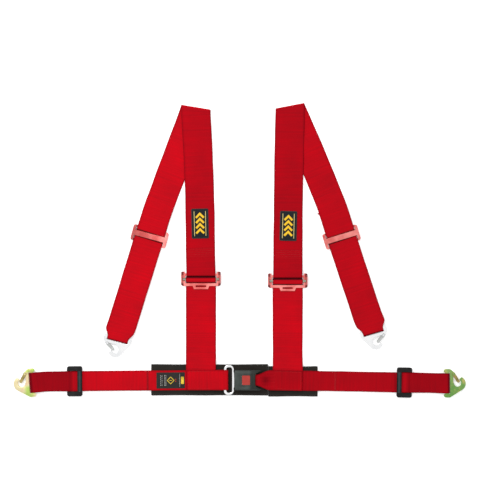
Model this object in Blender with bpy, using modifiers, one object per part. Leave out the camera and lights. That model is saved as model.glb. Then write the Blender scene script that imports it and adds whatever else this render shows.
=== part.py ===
"""Four-point racing harness, laid out flat: two shoulder straps, two lap straps and a push-button buckle.

Lengths are written in millimetres and turned into metres by MM. +X runs along the lap belt from the
tongue towards the buckle, +Y up the shoulder straps, and +Z away from the surface that the harness
lies on. Each piece of hardware is modelled in a frame of its own, an empty on its joint's axis:
u runs outward along the strap, v across it and w up.
"""

import math

import bmesh
import bpy
from mathutils import Matrix, Vector

MM = 0.001

# Webbing
WEB = 1.8                  # thickness
GAP = 0.3                  # clearance between neighbours
LAP_HALF = 25.0            # half of a 2 inch lap strap
LOWER_HALF = 37.5          # half of a 3 inch shoulder strap, between belt and adjuster
UPPER_HALF = 36.4          # the same strap, drawn a little narrower, above the adjuster
TAPER_HALF = 26.0          # where it is folded in to pass its snap hook
FLOOR_Z = WEB / 2          # middle of a layer that lies on the surface
FREE_Z = 3.4               # middle of the free layer inside a slider's range
MAIN_Z = FREE_Z + WEB + GAP

# Lap belt
BELT_Y = -324.0            # the tongue and buckle's centre line
TONGUE_X = -35.7           # axis of the tongue's webbing bar
BUCKLE_X = 38.0            # axis of the buckle's webbing bar
BAR_Z = 11.7               # height of both axes
BAR_LOOP = 4.5             # middle radius of the webbing round them
HOOK_Z = 6.9               # height of a snap hook's bar
HOOK_LOOP = 6.0            # middle radius of the webbing round it
PAD_TOP = 6.0
OVER_PAD_Z = PAD_TOP + GAP + WEB / 2
SEWN_Z = OVER_PAD_Z + WEB + GAP
RETURN_Z = SEWN_Z + WEB + GAP

# Adjuster, measured from the lock bar's axis towards the fold
TOP_BAR_P = 12.9
FRAME_LOW = 4.2
FRAME_THICK = 2.5
TOP_BAR_Z = FRAME_LOW + FRAME_THICK / 2
TOP_BAR_LOOP = 4.35
LOCK_R = 3.4
LOCK_TRAVEL = 3.0
LOCK_Z = FRAME_LOW + FRAME_THICK + GAP + LOCK_R
UNDER_FRAME_Z = FRAME_LOW - GAP - WEB / 2
RAIL_IN = 39.3
RAIL_OUT = 49.5

# Each side of the belt: -1 is the tongue's side, +1 the buckle's
SIDES = {
    -1: {
        "name": "left",
        "lap_origin": (TONGUE_X, BELT_Y),
        "lap_heading": 180.55,
        "lap_hook": (-517.3, -331.0, 184.6),
        "lap_free": 196.0,
        "return_end": 95.3,
        "pad": ((-220.5, -363.5), (71.2, -285.0)),
        "pad_end": 185.0,
        "lap_slider": 375.8,
        "lower_x": -96.3,
        "lock_y": -74.4,
        "fold": (-109.2, 354.8),
        "tail_lean": (20.4, 17.2),
        "tail_length": 607.0,
        "tail_hook": (-304.0, -221.8, 14.8),
        "slider_at": 340.5,
        "slider_lean": 15.0,
        "patch": (-98.6, 66.0),
    },
    1: {
        "name": "right",
        "lap_origin": (BUCKLE_X, BELT_Y),
        "lap_heading": -1.05,
        "lap_hook": (518.0, -332.6, 0.6),
        "lap_free": 203.0,
        "return_end": 117.5,
        "pad": ((71.8, -366.2), (195.0, -290.0)),
        "pad_end": 157.5,
        "lap_slider": 373.5,
        "lower_x": 120.4,
        "lock_y": -79.0,
        "fold": (126.2, 358.4),
        "tail_lean": (22.4, 18.2),
        "tail_length": 598.0,
        "tail_hook": (333.2, -202.8, 16.2),
        "slider_at": 350.5,
        "slider_lean": 17.0,
        "patch": (122.0, 60.0),
    },
}

FINISHES = {
    "webbing": ((0.62, 0.01, 0.02), 0.75, 0.0),
    "pad": ((0.02, 0.02, 0.02), 0.8, 0.0),
    "patch": ((0.02, 0.02, 0.03), 0.7, 0.0),
    "chrome": ((0.80, 0.80, 0.82), 0.12, 1.0),
    "zinc": ((0.62, 0.60, 0.30), 0.3, 1.0),
    "anodised": ((0.85, 0.25, 0.24), 0.3, 0.9),
    "steel": ((0.45, 0.45, 0.42), 0.35, 1.0),
    "plastic": ((0.03, 0.03, 0.035), 0.45, 0.0),
    "button": ((0.70, 0.05, 0.04), 0.4, 0.0),
}


# ---- collections, materials and frames --------------------------------------------------------


def clear_scene():
    for obj in list(bpy.data.objects):
        bpy.data.objects.remove(obj, do_unlink=True)


def collection(name):
    made = bpy.data.collections.new(name)
    bpy.context.scene.collection.children.link(made)
    return made


def finish(name):
    """The Principled material of this finish, made once."""
    found = bpy.data.materials.get(name)
    if found:
        return found
    colour, roughness, metallic = FINISHES[name]
    made = bpy.data.materials.new(name)
    made.use_nodes = True
    shader = made.node_tree.nodes["Principled BSDF"]
    shader.inputs["Base Color"].default_value = (*colour, 1.0)
    shader.inputs["Roughness"].default_value = roughness
    shader.inputs["Metallic"].default_value = metallic
    return made


def empty(name, at, heading=0.0, parent=None):
    """An empty whose x axis points along the heading, in degrees from the parent's x axis."""
    made = bpy.data.objects.new(name, None)
    made.location = Vector(at) * MM
    made.rotation_euler.z = math.radians(heading)
    made.parent = parent
    PARTS.objects.link(made)
    return made


def keep(obj, finish_name, frame=None):
    """Files a finished piece: its material, its collection and the frame it sits in."""
    obj.data.materials.append(finish(finish_name))
    obj.parent = frame
    PARTS.objects.link(obj)
    return obj


def helper(obj, frame=None):
    obj.parent = frame
    obj.hide_render = True
    obj.display_type = "WIRE"
    CUTTERS.objects.link(obj)
    return obj


# ---- shapes -----------------------------------------------------------------------------------


def arc(centre, radius, start, end, steps=6):
    """Points on an arc, its angles in degrees."""
    turns = [math.radians(start + (end - start) * i / steps) for i in range(steps + 1)]
    return [(centre[0] + radius * math.cos(a), centre[1] + radius * math.sin(a)) for a in turns]


def rounded(low, high, radius, steps=4):
    """A rectangle with round corners, anticlockwise."""
    left, bottom = low[0] + radius, low[1] + radius
    right, top = high[0] - radius, high[1] - radius
    return (
        arc((right, bottom), radius, -90, 0, steps)
        + arc((right, top), radius, 0, 90, steps)
        + arc((left, top), radius, 90, 180, steps)
        + arc((left, bottom), radius, 180, 270, steps)
    )


def flip(points, side):
    """The outline mirrored across its strap's centre line when side is -1."""
    return [(u, v * side) for u, v in points]


def flat_curve(name, outlines, thickness, chamfer=0.0):
    """A flat plate about w = 0: the first outline is its edge and the others are holes."""
    data = bpy.data.curves.new(name, "CURVE")
    data.dimensions = "2D"
    data.fill_mode = "BOTH"
    data.extrude = (thickness / 2 - chamfer) * MM
    data.bevel_depth = chamfer * MM
    data.bevel_resolution = 0
    data.offset = -chamfer * MM
    for outline in outlines:
        spline = data.splines.new("POLY")
        spline.points.add(len(outline) - 1)
        for point, (u, v) in zip(spline.points, outline):
            point.co = (u * MM, v * MM, 0.0, 1.0)
        spline.use_cyclic_u = True
    return bpy.data.objects.new(name, data)


def as_mesh(curve):
    """The curve as a welded mesh object in the same place."""
    bpy.context.scene.collection.objects.link(curve)
    bpy.context.view_layer.update()
    graph = bpy.context.evaluated_depsgraph_get()
    mesh = bpy.data.meshes.new_from_object(curve.evaluated_get(graph))
    welded = bmesh.new()
    welded.from_mesh(mesh)
    bmesh.ops.remove_doubles(welded, verts=welded.verts, dist=1e-6)
    bmesh.ops.recalc_face_normals(welded, faces=welded.faces)
    welded.to_mesh(mesh)
    welded.free()
    name = curve.name
    placed = curve.matrix_world.copy()
    bpy.data.objects.remove(curve, do_unlink=True)
    made = bpy.data.objects.new(name, mesh)
    made.matrix_world = placed
    return made


def plate(name, outlines, thickness, chamfer=0.0, height=0.0):
    """A flat plate as a mesh, its middle at this height."""
    made = as_mesh(flat_curve(name, outlines, thickness, chamfer))
    made.data.transform(Matrix.Translation((0, 0, height * MM)))
    return made


def across(name, outline, half_width):
    """An outline in the u-w plane, carried across the strap from -half_width to +half_width."""
    shape = bmesh.new()
    end = shape.faces.new([shape.verts.new((u * MM, -half_width * MM, w * MM)) for u, w in outline])
    other = bmesh.ops.extrude_face_region(shape, geom=[end])["geom"]
    moved = [item for item in other if isinstance(item, bmesh.types.BMVert)]
    bmesh.ops.translate(shape, vec=(0.0, 2 * half_width * MM, 0.0), verts=moved)
    bmesh.ops.recalc_face_normals(shape, faces=shape.faces)
    mesh = bpy.data.meshes.new(name)
    shape.to_mesh(mesh)
    shape.free()
    return bpy.data.objects.new(name, mesh)


def block(name, low, high):
    size = [(high[i] - low[i]) * MM for i in range(3)]
    middle = [(high[i] + low[i]) / 2 * MM for i in range(3)]
    shape = bmesh.new()
    bmesh.ops.create_cube(shape, size=1.0)
    bmesh.ops.scale(shape, vec=size, verts=shape.verts)
    bmesh.ops.translate(shape, vec=middle, verts=shape.verts)
    mesh = bpy.data.meshes.new(name)
    shape.to_mesh(mesh)
    shape.free()
    return bpy.data.objects.new(name, mesh)


def rod(name, centre, radius, length, axis="Z", segments=16):
    """A plain round bar, centred, along the given axis."""
    shape = bmesh.new()
    bmesh.ops.create_cone(
        shape, cap_ends=True, segments=segments,
        radius1=radius * MM, radius2=radius * MM, depth=length * MM,
    )
    turns = {"X": Matrix.Rotation(math.radians(90), 4, "Y"),
             "Y": Matrix.Rotation(math.radians(90), 4, "X"),
             "Z": Matrix.Identity(4)}
    shape.transform(turns[axis])
    bmesh.ops.translate(shape, vec=Vector(centre) * MM, verts=shape.verts)
    mesh = bpy.data.meshes.new(name)
    shape.to_mesh(mesh)
    shape.free()
    return bpy.data.objects.new(name, mesh)


def turned(name, profile, at=(0.0, 0.0), steps=16):
    """A profile of (radius, height) points, top to bottom, turned about a vertical axis."""
    shape = bmesh.new()
    corners = [shape.verts.new((r * MM, 0.0, w * MM)) for r, w in profile]
    for first, second in zip(corners, corners[1:]):
        shape.edges.new((first, second))
    mesh = bpy.data.meshes.new(name)
    shape.to_mesh(mesh)
    shape.free()
    made = bpy.data.objects.new(name, mesh)
    made.location = (at[0] * MM, at[1] * MM, 0.0)
    screw = made.modifiers.new("Turn", "SCREW")
    screw.steps = steps
    screw.render_steps = steps
    screw.use_merge_vertices = True
    screw.merge_threshold = 1e-5
    return made


def wire(name, points, radius):
    data = bpy.data.curves.new(name, "CURVE")
    data.dimensions = "3D"
    data.bevel_depth = radius * MM
    data.bevel_resolution = 1
    data.use_fill_caps = True
    spline = data.splines.new("POLY")
    spline.points.add(len(points) - 1)
    for point, place in zip(spline.points, points):
        point.co = (*(Vector(place) * MM), 1.0)
    return bpy.data.objects.new(name, data)


def coil(centre, radius, length, turns, axis="Z", per_turn=8):
    """Points of a helix that starts at the centre and runs along the axis."""
    points = []
    for i in range(int(turns * per_turn) + 1):
        angle = 2 * math.pi * i / per_turn
        along = length * i / (turns * per_turn)
        ring = (radius * math.cos(angle), radius * math.sin(angle))
        offset = (ring[0], ring[1], along) if axis == "Z" else (along, ring[0], ring[1])
        points.append(tuple(centre[k] + offset[k] for k in range(3)))
    return points


def boolean(obj, other, operation, frame=None):
    """Cuts or joins another mesh, which stays as a hidden helper."""
    helper(other, frame)
    modifier = obj.modifiers.new(operation.title(), "BOOLEAN")
    modifier.operation = operation
    modifier.object = other
    modifier.solver = "EXACT"
    return obj


def soften(obj, width, segments=2):
    bevel = obj.modifiers.new("Edges", "BEVEL")
    bevel.width = width * MM
    bevel.segments = segments
    bevel.limit_method = "ANGLE"
    bevel.angle_limit = math.radians(50)
    return obj


# ---- webbing ----------------------------------------------------------------------------------


class Line:
    """A straight strap's centre line: an origin and a heading, in plan."""

    def __init__(self, origin, heading):
        self.origin = Vector((*origin, 0.0))
        angle = math.radians(heading)
        self.along = Vector((math.cos(angle), math.sin(angle), 0.0))
        self.left = Vector((-math.sin(angle), math.cos(angle), 0.0))

    def at(self, s, z, t=0.0):
        return self.origin + self.along * s + self.left * t + Vector((0.0, 0.0, z))

    def reach(self, point):
        """How far along the line this point lies."""
        return (point - self.origin).dot(self.along)

    def row(self, s, z, half):
        """The strap's two edges at this distance and height."""
        return self.at(s, z, half), self.at(s, z, -half)


def ribbon(name, rows):
    """A strap from the rows of its two edges: an open surface, given its thickness by Solidify."""
    shape = bmesh.new()
    grid = [[shape.verts.new(point * MM) for point in row] for row in rows]
    for first, second in zip(grid, grid[1:]):
        shape.faces.new((first[0], first[1], second[1], second[0]))
    mesh = bpy.data.meshes.new(name)
    shape.to_mesh(mesh)
    shape.free()
    made = bpy.data.objects.new(name, mesh)
    wall = made.modifiers.new("Thickness", "SOLIDIFY")
    wall.thickness = WEB * MM
    wall.offset = 0.0
    wall.use_even_offset = True
    return made


def hook_line(side, place):
    """The line through a snap hook's bar that its webbing and its frame follow."""
    x, y, heading = SIDES[side][place]
    if place == "tail_hook":
        heading = -90.0 + side * heading
    return Line((x, y), heading), heading


def hook_loop(line, wide, middle, narrow):
    """Rows of the webbing round a snap hook's bar, narrowing to pass its slot."""
    path = [(-18.0, 9.6, wide), (-7.0, HOOK_Z + HOOK_LOOP - 0.4, middle)]
    path += [(s, z, narrow) for s, z in arc((0.0, HOOK_Z), HOOK_LOOP, 90, -90, 12)]
    path += [(-9.0, FLOOR_Z + 0.1, narrow), (-20.0, 2.0, wide)]
    return [line.row(s, z, half) for s, z, half in path]


def gathered(s):
    """Half width of the right lap strap, drawn together to pass the buckle's slot."""
    start, end, narrow = 8.0, 34.0, 14.0
    share = min(max((s - start) / (end - start), 0.0), 1.0)
    return narrow + (LAP_HALF - narrow) * share


def lap_strap(side):
    """Sewn layer, loop round the inner bar, main layer, loop round the hook's bar, free layer."""
    data = SIDES[side]
    line = Line(data["lap_origin"], data["lap_heading"])
    hook_end, _ = hook_line(side, "lap_hook")
    far = line.reach(hook_end.origin)
    path = [(data["return_end"], RETURN_Z), (34.0, RETURN_Z), (22.0, RETURN_Z + 1.6), (8.0, 15.6)]
    path += arc((0.0, BAR_Z), BAR_LOOP, 90, 270, 12)
    path += [(8.0, OVER_PAD_Z), (34.0, OVER_PAD_Z), (data["pad_end"] + 4.0, OVER_PAD_Z)]
    path += [(data["pad_end"] + 16.0, MAIN_Z), (far - 60.0, MAIN_Z), (far - 36.0, MAIN_Z)]
    rows = [line.row(s, z, gathered(s) if side > 0 else LAP_HALF) for s, z in path]
    rows += hook_loop(hook_end, LAP_HALF, LAP_HALF, LAP_HALF)
    rows += [line.row(s, FREE_Z, LAP_HALF) for s in (far - 36.0, far - 60.0, data["lap_free"])]
    return keep(ribbon(data["name"] + "_lap_strap", rows), "webbing")


def lower_shoulder(side):
    """The shoulder strap's lower half in the three lengths that a tilting adjuster parts."""
    data = SIDES[side]
    line = Line((data["lower_x"], data["lock_y"]), 90.0)
    pad_edge = data["pad"][1][1] - data["lock_y"]
    sewn_end = BELT_Y - 23.0 - data["lock_y"]
    path = [(sewn_end, SEWN_Z), (BELT_Y + 28.0 - data["lock_y"], SEWN_Z), (pad_edge + 2.0, OVER_PAD_Z)]
    path += [(pad_edge + 22.0, FLOOR_Z), (-96.0, FLOOR_Z), (-84.0, UNDER_FRAME_Z), (-9.0, UNDER_FRAME_Z)]
    rows = [line.row(s, z, LOWER_HALF) for s, z in path]
    keep(ribbon(data["name"] + "_lower_strap", rows), "webbing")

    rows = [line.row(s, FLOOR_Z, LOWER_HALF) for s in (7.0, -40.0, -78.0)]
    keep(ribbon(data["name"] + "_lower_strap_end", rows), "webbing")

    turn = LOCK_R + GAP + WEB / 2
    centre = LOCK_TRAVEL / 2
    path = [(-centre - turn, FRAME_LOW + 0.8)]
    path += arc((-centre, LOCK_Z), turn, 180, 90, 5)
    path += arc((centre, LOCK_Z), turn, 90, 0, 5)
    path += [(centre + turn, 2.2)]
    rows = [line.row(s, z, LOWER_HALF) for s, z in path]
    return keep(ribbon(data["name"] + "_lock_wrap", rows), "webbing")


def tail_line(side, s):
    """A point of the tail's centre line and the vector across it, towards +X.

    The line leaves the fold at its first lean and bends to its second over a short way before the slider.
    """
    data = SIDES[side]
    before, after = data["tail_lean"]
    bend_start, bend_end = 250.0, 300.0
    point = Vector((*data["fold"], 0.0))
    across = Vector((1.0, 0.0, 0.0))
    steps = max(round(s / 5.0), 1)
    for i in range(steps):
        share = ((i + 0.5) * s / steps - bend_start) / (bend_end - bend_start)
        lean = math.radians(before + (after - before) * min(max(share, 0.0), 1.0))
        point += Vector((side * math.sin(lean), -math.cos(lean), 0.0)) * (s / steps)
        across = Vector((math.cos(lean), side * math.sin(lean), 0.0))
    return point, across


def tail_row(side, s, z, half=UPPER_HALF):
    """The tail's two edges, the one towards -X first."""
    centre, out = tail_line(side, s)
    lift = Vector((0.0, 0.0, z))
    return centre - out * half + lift, centre + out * half + lift


def upper_shoulder(side):
    """One length of webbing: adjuster loop, front, fold, tail, hook loop and free layer."""
    data = SIDES[side]
    top_bar = Vector((data["lower_x"], data["lock_y"] + TOP_BAR_P, 0.0))
    fold = Vector((*data["fold"], 0.0))
    front = fold - top_bar
    outward_lean = math.atan2(side * front.x, front.y)
    path = [(60.0, 1.1), (6.0, 1.1)] + arc((0.0, TOP_BAR_Z), TOP_BAR_LOOP, 270, 90, 10)
    path += [(18.0, 8.6), (34.0, 4.4), (44.0, 3.2), (66.0, 3.2), (80.0, FLOOR_Z)]
    path += [(200.0, FLOOR_Z), (225.0, 3.1), (310.0, 3.1), (front.length - 16.0, 3.7)]
    rows = []
    for s, z in path:
        centre = top_bar + front * (s / front.length) + Vector((0.0, 0.0, z))
        lean = outward_lean * min(max(s / 60.0, 0.0), 1.0)
        out = Vector((math.cos(lean), -side * math.sin(lean), 0.0)) * UPPER_HALF
        rows.append((centre - out, centre + out))

    tail_lean = math.radians(data["tail_lean"][0])
    tilt = (tail_lean - outward_lean) / 2
    crease = Vector((math.cos(tilt), side * math.sin(tilt), 0.0))
    outward = Vector((-side * math.sin(tilt), math.cos(tilt), 0.0))
    half = UPPER_HALF / math.cos(tail_lean - tilt)
    bend, middle = 1.6, 2.5
    for r, z in arc((0.0, middle), bend, 90, -90, 8):
        centre = fold + outward * r + Vector((0.0, 0.0, z))
        rows.append((centre - crease * half, centre + crease * half))

    hook_end, _ = hook_line(side, "tail_hook")
    slider, far = data["slider_at"], data["tail_length"]
    for s in (16.0, 90.0, 160.0, slider - 116.0):
        rows.append(tail_row(side, s, FLOOR_Z))
    for s in (slider - 84.0, slider - 60.0, slider - 40.0, slider, slider + 100.0, far - 38.0):
        rows.append(tail_row(side, s, MAIN_Z))
    turned_back = hook_loop(hook_end, TAPER_HALF + 7.0, TAPER_HALF + 2.5, TAPER_HALF)
    rows += [(right, left) for left, right in turned_back]
    for s in (far - 38.0, slider + 100.0, slider, slider - 40.0, slider - 60.0, slider - 76.0):
        rows.append(tail_row(side, s, FREE_Z))
    return keep(ribbon(data["name"] + "_shoulder_strap", rows), "webbing")


def patches(side):
    """The sewn patch on the front of a shoulder strap."""
    data = SIDES[side]
    frame = empty(data["name"] + "_patch_place", (*data["patch"], WEB + GAP), 90.0 - side * 1.4)
    made = plate(data["name"] + "_patch", [rounded((-37.0, -21.0), (37.0, 21.0), 1.5, 2)], 0.7, 0.0, 0.35)
    return keep(made, "patch", frame)


def label():
    data = SIDES[-1]
    frame = empty("label_place", (TONGUE_X, BELT_Y, OVER_PAD_Z + WEB / 2 + GAP), data["lap_heading"])
    made = plate("rating_label", [rounded((100.6, -20.0), (171.5, 20.0), 1.0, 2)], 0.5, 0.0, 0.25)
    return keep(made, "patch", frame)


def pads(side):
    data = SIDES[side]
    low, high = data["pad"]
    made = block(data["name"] + "_pad", (*low, 0.0), (*high, PAD_TOP))
    return keep(soften(made, 2.4), "pad")


# ---- snap hooks -------------------------------------------------------------------------------

HOOK_THICK = 4.0
PIVOT = (16.5, 22.5)
NOSE = (28.0, -1.0)
NOSE_R = 18.5
GATE_ANGLE = -57.0


def hook_outline(side):
    """The hook plate: ears, a straight flank to the round nose, the beak, the eye and the lug."""
    corner = (8.0, -35.5)
    reach = Vector(NOSE) - Vector(corner)
    flank = math.degrees(math.atan2(reach.y, reach.x) - math.asin(NOSE_R / reach.length))
    back = [(-8.0, 27.3), (-4.5, 27.3), (-4.5, -27.3), (-8.0, -27.3)]
    outline = back + arc((-3.0, -30.5), 5.0, 180, 270, 3) + arc((6.0, -31.5), 4.0, -90, flank - 90, 2)
    outline += arc(NOSE, NOSE_R, flank - 90, 60, 12)
    outline += [(33.6, 13.4)] + arc((26.2, 0.5), 9.0, 62, -170, 14) + [(15.5, 3.0), (15.5, 17.6)]
    outline += arc(PIVOT, 4.6, -62, 48, 6) + arc((6.0, 30.5), 5.0, 48, 90, 3)
    outline += arc((-3.0, 30.5), 5.0, 90, 180, 3)
    return flip(outline, side)


def hook(name, frame, side, finish_name):
    """Plate, sprung gate, its spring and its rivet, in a frame on the webbing bar's axis."""
    slot = rounded((4.5, -27.0), (11.5, 27.0), 1.8, 2)
    pivot = (PIVOT[0], PIVOT[1] * side)
    hole = arc(pivot, 2.1, 0, 330, 11)
    body = plate(name + "_plate", [hook_outline(side), slot, hole], HOOK_THICK, 0.5)
    keep(body, finish_name, frame)

    pin = [(0.0, 4.5), (2.4, 4.5), (3.2, 3.9), (3.2, 3.6), (1.8, 3.6), (1.8, -3.6),
           (3.2, -3.6), (3.2, -3.9), (2.4, -4.5), (0.0, -4.5)]
    keep(turned(name + "_rivet", pin, pivot, 12), finish_name, frame)

    swing = empty(name + "_gate_axis", (*pivot, 0.0), GATE_ANGLE * side, frame)
    edge = arc((0.0, 0.0), 4.2, 110, 240, 5) + arc((21.0, -0.4), 3.4, -90, 0, 3)
    edge += arc((21.0, 0.2), 3.4, 0, 90, 3)
    gate = plate(name + "_gate", [flip(edge, side), arc((0.0, 0.0), 2.1, 0, 330, 11)], 6.6)
    inside = [(-6.0, -8.0), (28.0, -8.0), (28.0, 2.6), (5.4, 2.6), (5.4, 8.0), (-6.0, 8.0)]
    boolean(gate, plate(name + "_gate_slot", [flip(inside, side)], 4.6), "DIFFERENCE", swing)
    keep(gate, finish_name, swing)

    bend = arc((18.0, 1.2), 0.8, 90, -90, 6)
    legs = [(7.0, 2.0)] + bend + [(7.4, 0.4)]
    spring = wire(name + "_gate_spring", [(u, v * side, 0.0) for u, v in legs], 0.4)
    return keep(spring, "steel", swing)


# ---- sliders ----------------------------------------------------------------------------------


def slider(name, frame, half_length, half_width, void, void_half, finish_name, top):
    """A block with round corners, opened by a void of this outline for the two webbing layers."""
    low, high = (-half_length, -half_width), (half_length, half_width)
    body = plate(name, [rounded(low, high, 4.5, 3)], top, 0.8, top / 2)
    boolean(body, across(name + "_void", void, void_half), "DIFFERENCE", frame)
    return keep(body, finish_name, frame)


def lap_slider(side):
    data = SIDES[side]
    line = Line(data["lap_origin"], data["lap_heading"])
    frame = empty(data["name"] + "_lap_slider_place", line.at(data["lap_slider"], 0.0), data["lap_heading"])
    void = [(-21.0, -1.0), (-4.0, -1.0), (-4.0, 2.2), (2.0, 2.2), (2.0, -1.0), (12.0, -1.0), (12.0, 2.2),
            (21.0, 2.2), (21.0, 11.0), (-7.0, 11.0), (-7.0, 6.7), (-21.0, 6.7)]
    return slider(data["name"] + "_lap_slider", frame, 19.0, 37.5, void, 26.0, "plastic", 9.4)


def shoulder_slider(side):
    data = SIDES[side]
    centre, _ = tail_line(side, data["slider_at"])
    heading = -90.0 + side * data["slider_lean"]
    frame = empty(data["name"] + "_shoulder_slider_place", centre, heading)
    void = [(-22.0, 2.2), (-14.5, 2.2), (-14.5, -1.0), (14.5, -1.0), (14.5, 2.2), (22.0, 2.2), (22.0, 11.0),
            (6.7, 11.0), (6.7, 6.7), (-6.7, 6.7), (-6.7, 11.0), (-22.0, 11.0)]
    name = data["name"] + "_shoulder_slider"
    return slider(name, frame, 20.0, 45.2, void, 38.0, "anodised", 9.4)


# ---- adjusters --------------------------------------------------------------------------------


def adjuster(side):
    """The tilting frame, in a frame on its top bar, and the round bar that locks the webbing."""
    data = SIDES[side]
    name = data["name"] + "_adjuster"
    axis = empty(name + "_axis", (data["lower_x"], data["lock_y"] + TOP_BAR_P, TOP_BAR_Z), 90.0)
    lip = -8.1 - TOP_BAR_P
    half = [(lip - 15.5, 17.5), (lip - 7.5, 21.0)]
    half += arc((lip - 2.5, RAIL_OUT - 5.0), 5.0, 180, 90, 4)
    half += arc((4.7, RAIL_OUT - 3.0), 3.0, 90, 0, 3) + [(7.7, RAIL_IN + 1.0), (2.9, RAIL_IN + 1.0)]
    outline = half + [(u, -v) for u, v in reversed(half)]
    window = rounded((lip, -RAIL_IN), (-2.9, RAIL_IN), 1.0, 2)
    slot = rounded((lip - 9.8, -13.0), (lip - 6.0, 13.0), 1.8, 3)
    body = plate(name + "_frame", [outline, window, slot], FRAME_THICK, 0.4)
    rim = [(-26.0, -0.6), (4.5, -0.6), (4.5, 3.0), (1.0, 9.6), (-20.0, 9.6), (-26.0, 5.0)]
    for sign in (-1, 1):
        wall = across(name + f"_rim_{sign}", rim, 1.25)
        wall.data.transform(Matrix.Translation((0, sign * (RAIL_OUT - 1.75) * MM, 0)))
        boolean(body, wall, "UNION", axis)
    keep(body, "anodised", axis)

    at = (LOCK_TRAVEL / 2 - TOP_BAR_P, 0.0, LOCK_Z - TOP_BAR_Z)
    bar = rod(data["name"] + "_lock_bar", at, LOCK_R, 2 * 45.8, "Y", 20)
    return keep(soften(bar, 0.5, 1), "steel", axis)


# ---- tongue and buckle ------------------------------------------------------------------------

BLADE_LOW, BLADE_HIGH = 10.2, 13.2
COVER_HALF = 25.0
CAVITY_HALF = 20.6
SPLIT_Z = 13.55
COVER_TOP = 23.4
RECESS_Z = 22.2
CAVITY_TOP = 20.6
LATCH_PIN = (13.0, 15.0)


def tongue(frame):
    """Webbing ring and blade, pressed from one plate."""
    half = [(9.0, 12.0), (5.0, 17.0), (-12.3, 17.0), (-14.1, 21.5)]
    half += arc((-25.7, 25.0), 12.0, 0, 90, 5) + arc((-28.8, 27.0), 10.0, 90, 180, 5)
    outline = half + [(u, -v) for u, v in reversed(half)]
    eye = rounded((-32.6, -31.6), (-18.7, 31.6), 5.5, 4)
    window = rounded((-2.5, -8.6), (4.5, 8.6), 1.0, 2)
    middle = (BLADE_LOW + BLADE_HIGH) / 2
    made = plate("tongue", [outline, eye, window], BLADE_HIGH - BLADE_LOW, 0.7, middle)
    return keep(made, "chrome", frame)


def screw_places():
    return [(u, v) for u in (-8.0, 24.0) for v in (-22.8, 22.8)]


def bottom_cover(frame):
    body = plate("buckle_bottom_cover", [rounded((-13.4, -COVER_HALF), (31.0, COVER_HALF), 4.0, 3)],
                 SPLIT_Z - 0.15 - 6.4, 0.8, (SPLIT_Z - 0.15 + 6.4) / 2)
    boolean(body, block("bottom_hollow", (-20.0, -CAVITY_HALF, 8.0), (40.0, CAVITY_HALF, 20.0)),
            "DIFFERENCE", frame)
    for number, (u, v) in enumerate(screw_places(), 1):
        bore = [(0.0, 14.5), (1.3, 14.5), (1.3, 7.9), (2.0, 7.9), (2.0, 5.0), (0.0, 5.0)]
        boolean(body, turned(f"bottom_bore_{number}", bore, (u, v), 12), "DIFFERENCE", frame)
    return keep(body, "plastic", frame)


def top_cover(frame):
    """The shell with its button opening, its recess and the horned notch that the webbing leaves by."""
    half = arc((-9.4, COVER_HALF - 4.0), 4.0, 180, 90, 3)
    half += [(50.0, COVER_HALF), (53.8, 23.4), (53.8, 22.2), (50.5, 21.6), (39.3, 15.3)]
    outline = half + [(u, -v) for u, v in reversed(half)]
    low = SPLIT_Z + 0.15
    body = plate("buckle_top_cover", [outline], COVER_TOP - low, 1.2, (COVER_TOP + low) / 2)
    cuts = {
        "top_hollow": ((-11.4, -CAVITY_HALF, 10.0), (30.5, CAVITY_HALF, CAVITY_TOP)),
        "top_tunnel": ((28.0, -CAVITY_HALF, 10.0), (43.5, CAVITY_HALF, 18.2)),
        "top_recess": ((0.5, -15.5, RECESS_Z), (32.0, 15.5, 30.0)),
        "top_button_hole": ((5.9, -12.2, 15.0), (26.7, 12.2, 30.0)),
    }
    for name, (corner, opposite) in cuts.items():
        boolean(body, block(name, corner, opposite), "DIFFERENCE", frame)
    ramp = [(34.0, 15.0), (60.0, 15.0), (60.0, 21.6), (39.6, 21.6), (35.2, 17.2)]
    boolean(body, across("top_ramp", ramp, 15.0), "DIFFERENCE", frame)
    for number, (u, v) in enumerate(screw_places(), 1):
        boolean(body, rod(f"top_bore_{number}", (u, v, 13.0), 1.3, 11.0, "Z", 12), "DIFFERENCE", frame)
    return keep(body, "plastic", frame)


def buckle_frame(frame):
    """Base plate under the blade, cranked arms with the webbing bar, and the latch's two cheeks."""
    body = block("buckle_frame", (-10.0, -20.2, 8.3), (28.0, 20.2, 9.9))
    for sign in (-1, 1):
        inner, outer = sorted((sign * 16.0, sign * 20.2))
        boolean(body, block(f"frame_arm_{sign}", (26.0, inner, 8.5), (40.0, outer, 13.1)), "UNION", frame)
        inner, outer = sorted((sign * 17.6, sign * 20.0))
        boolean(body, block(f"frame_cheek_{sign}", (8.5, inner, 9.0), (17.5, outer, 18.0)), "UNION", frame)
    boolean(body, block("frame_bar", (35.5, -19.0, 10.2), (40.5, 19.0, 13.2)), "UNION", frame)
    bore = rod("frame_bore", (LATCH_PIN[0], 0.0, LATCH_PIN[1]), 1.45, 60.0, "Y", 12)
    boolean(body, bore, "DIFFERENCE", frame)
    return keep(body, "steel", frame)


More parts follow.
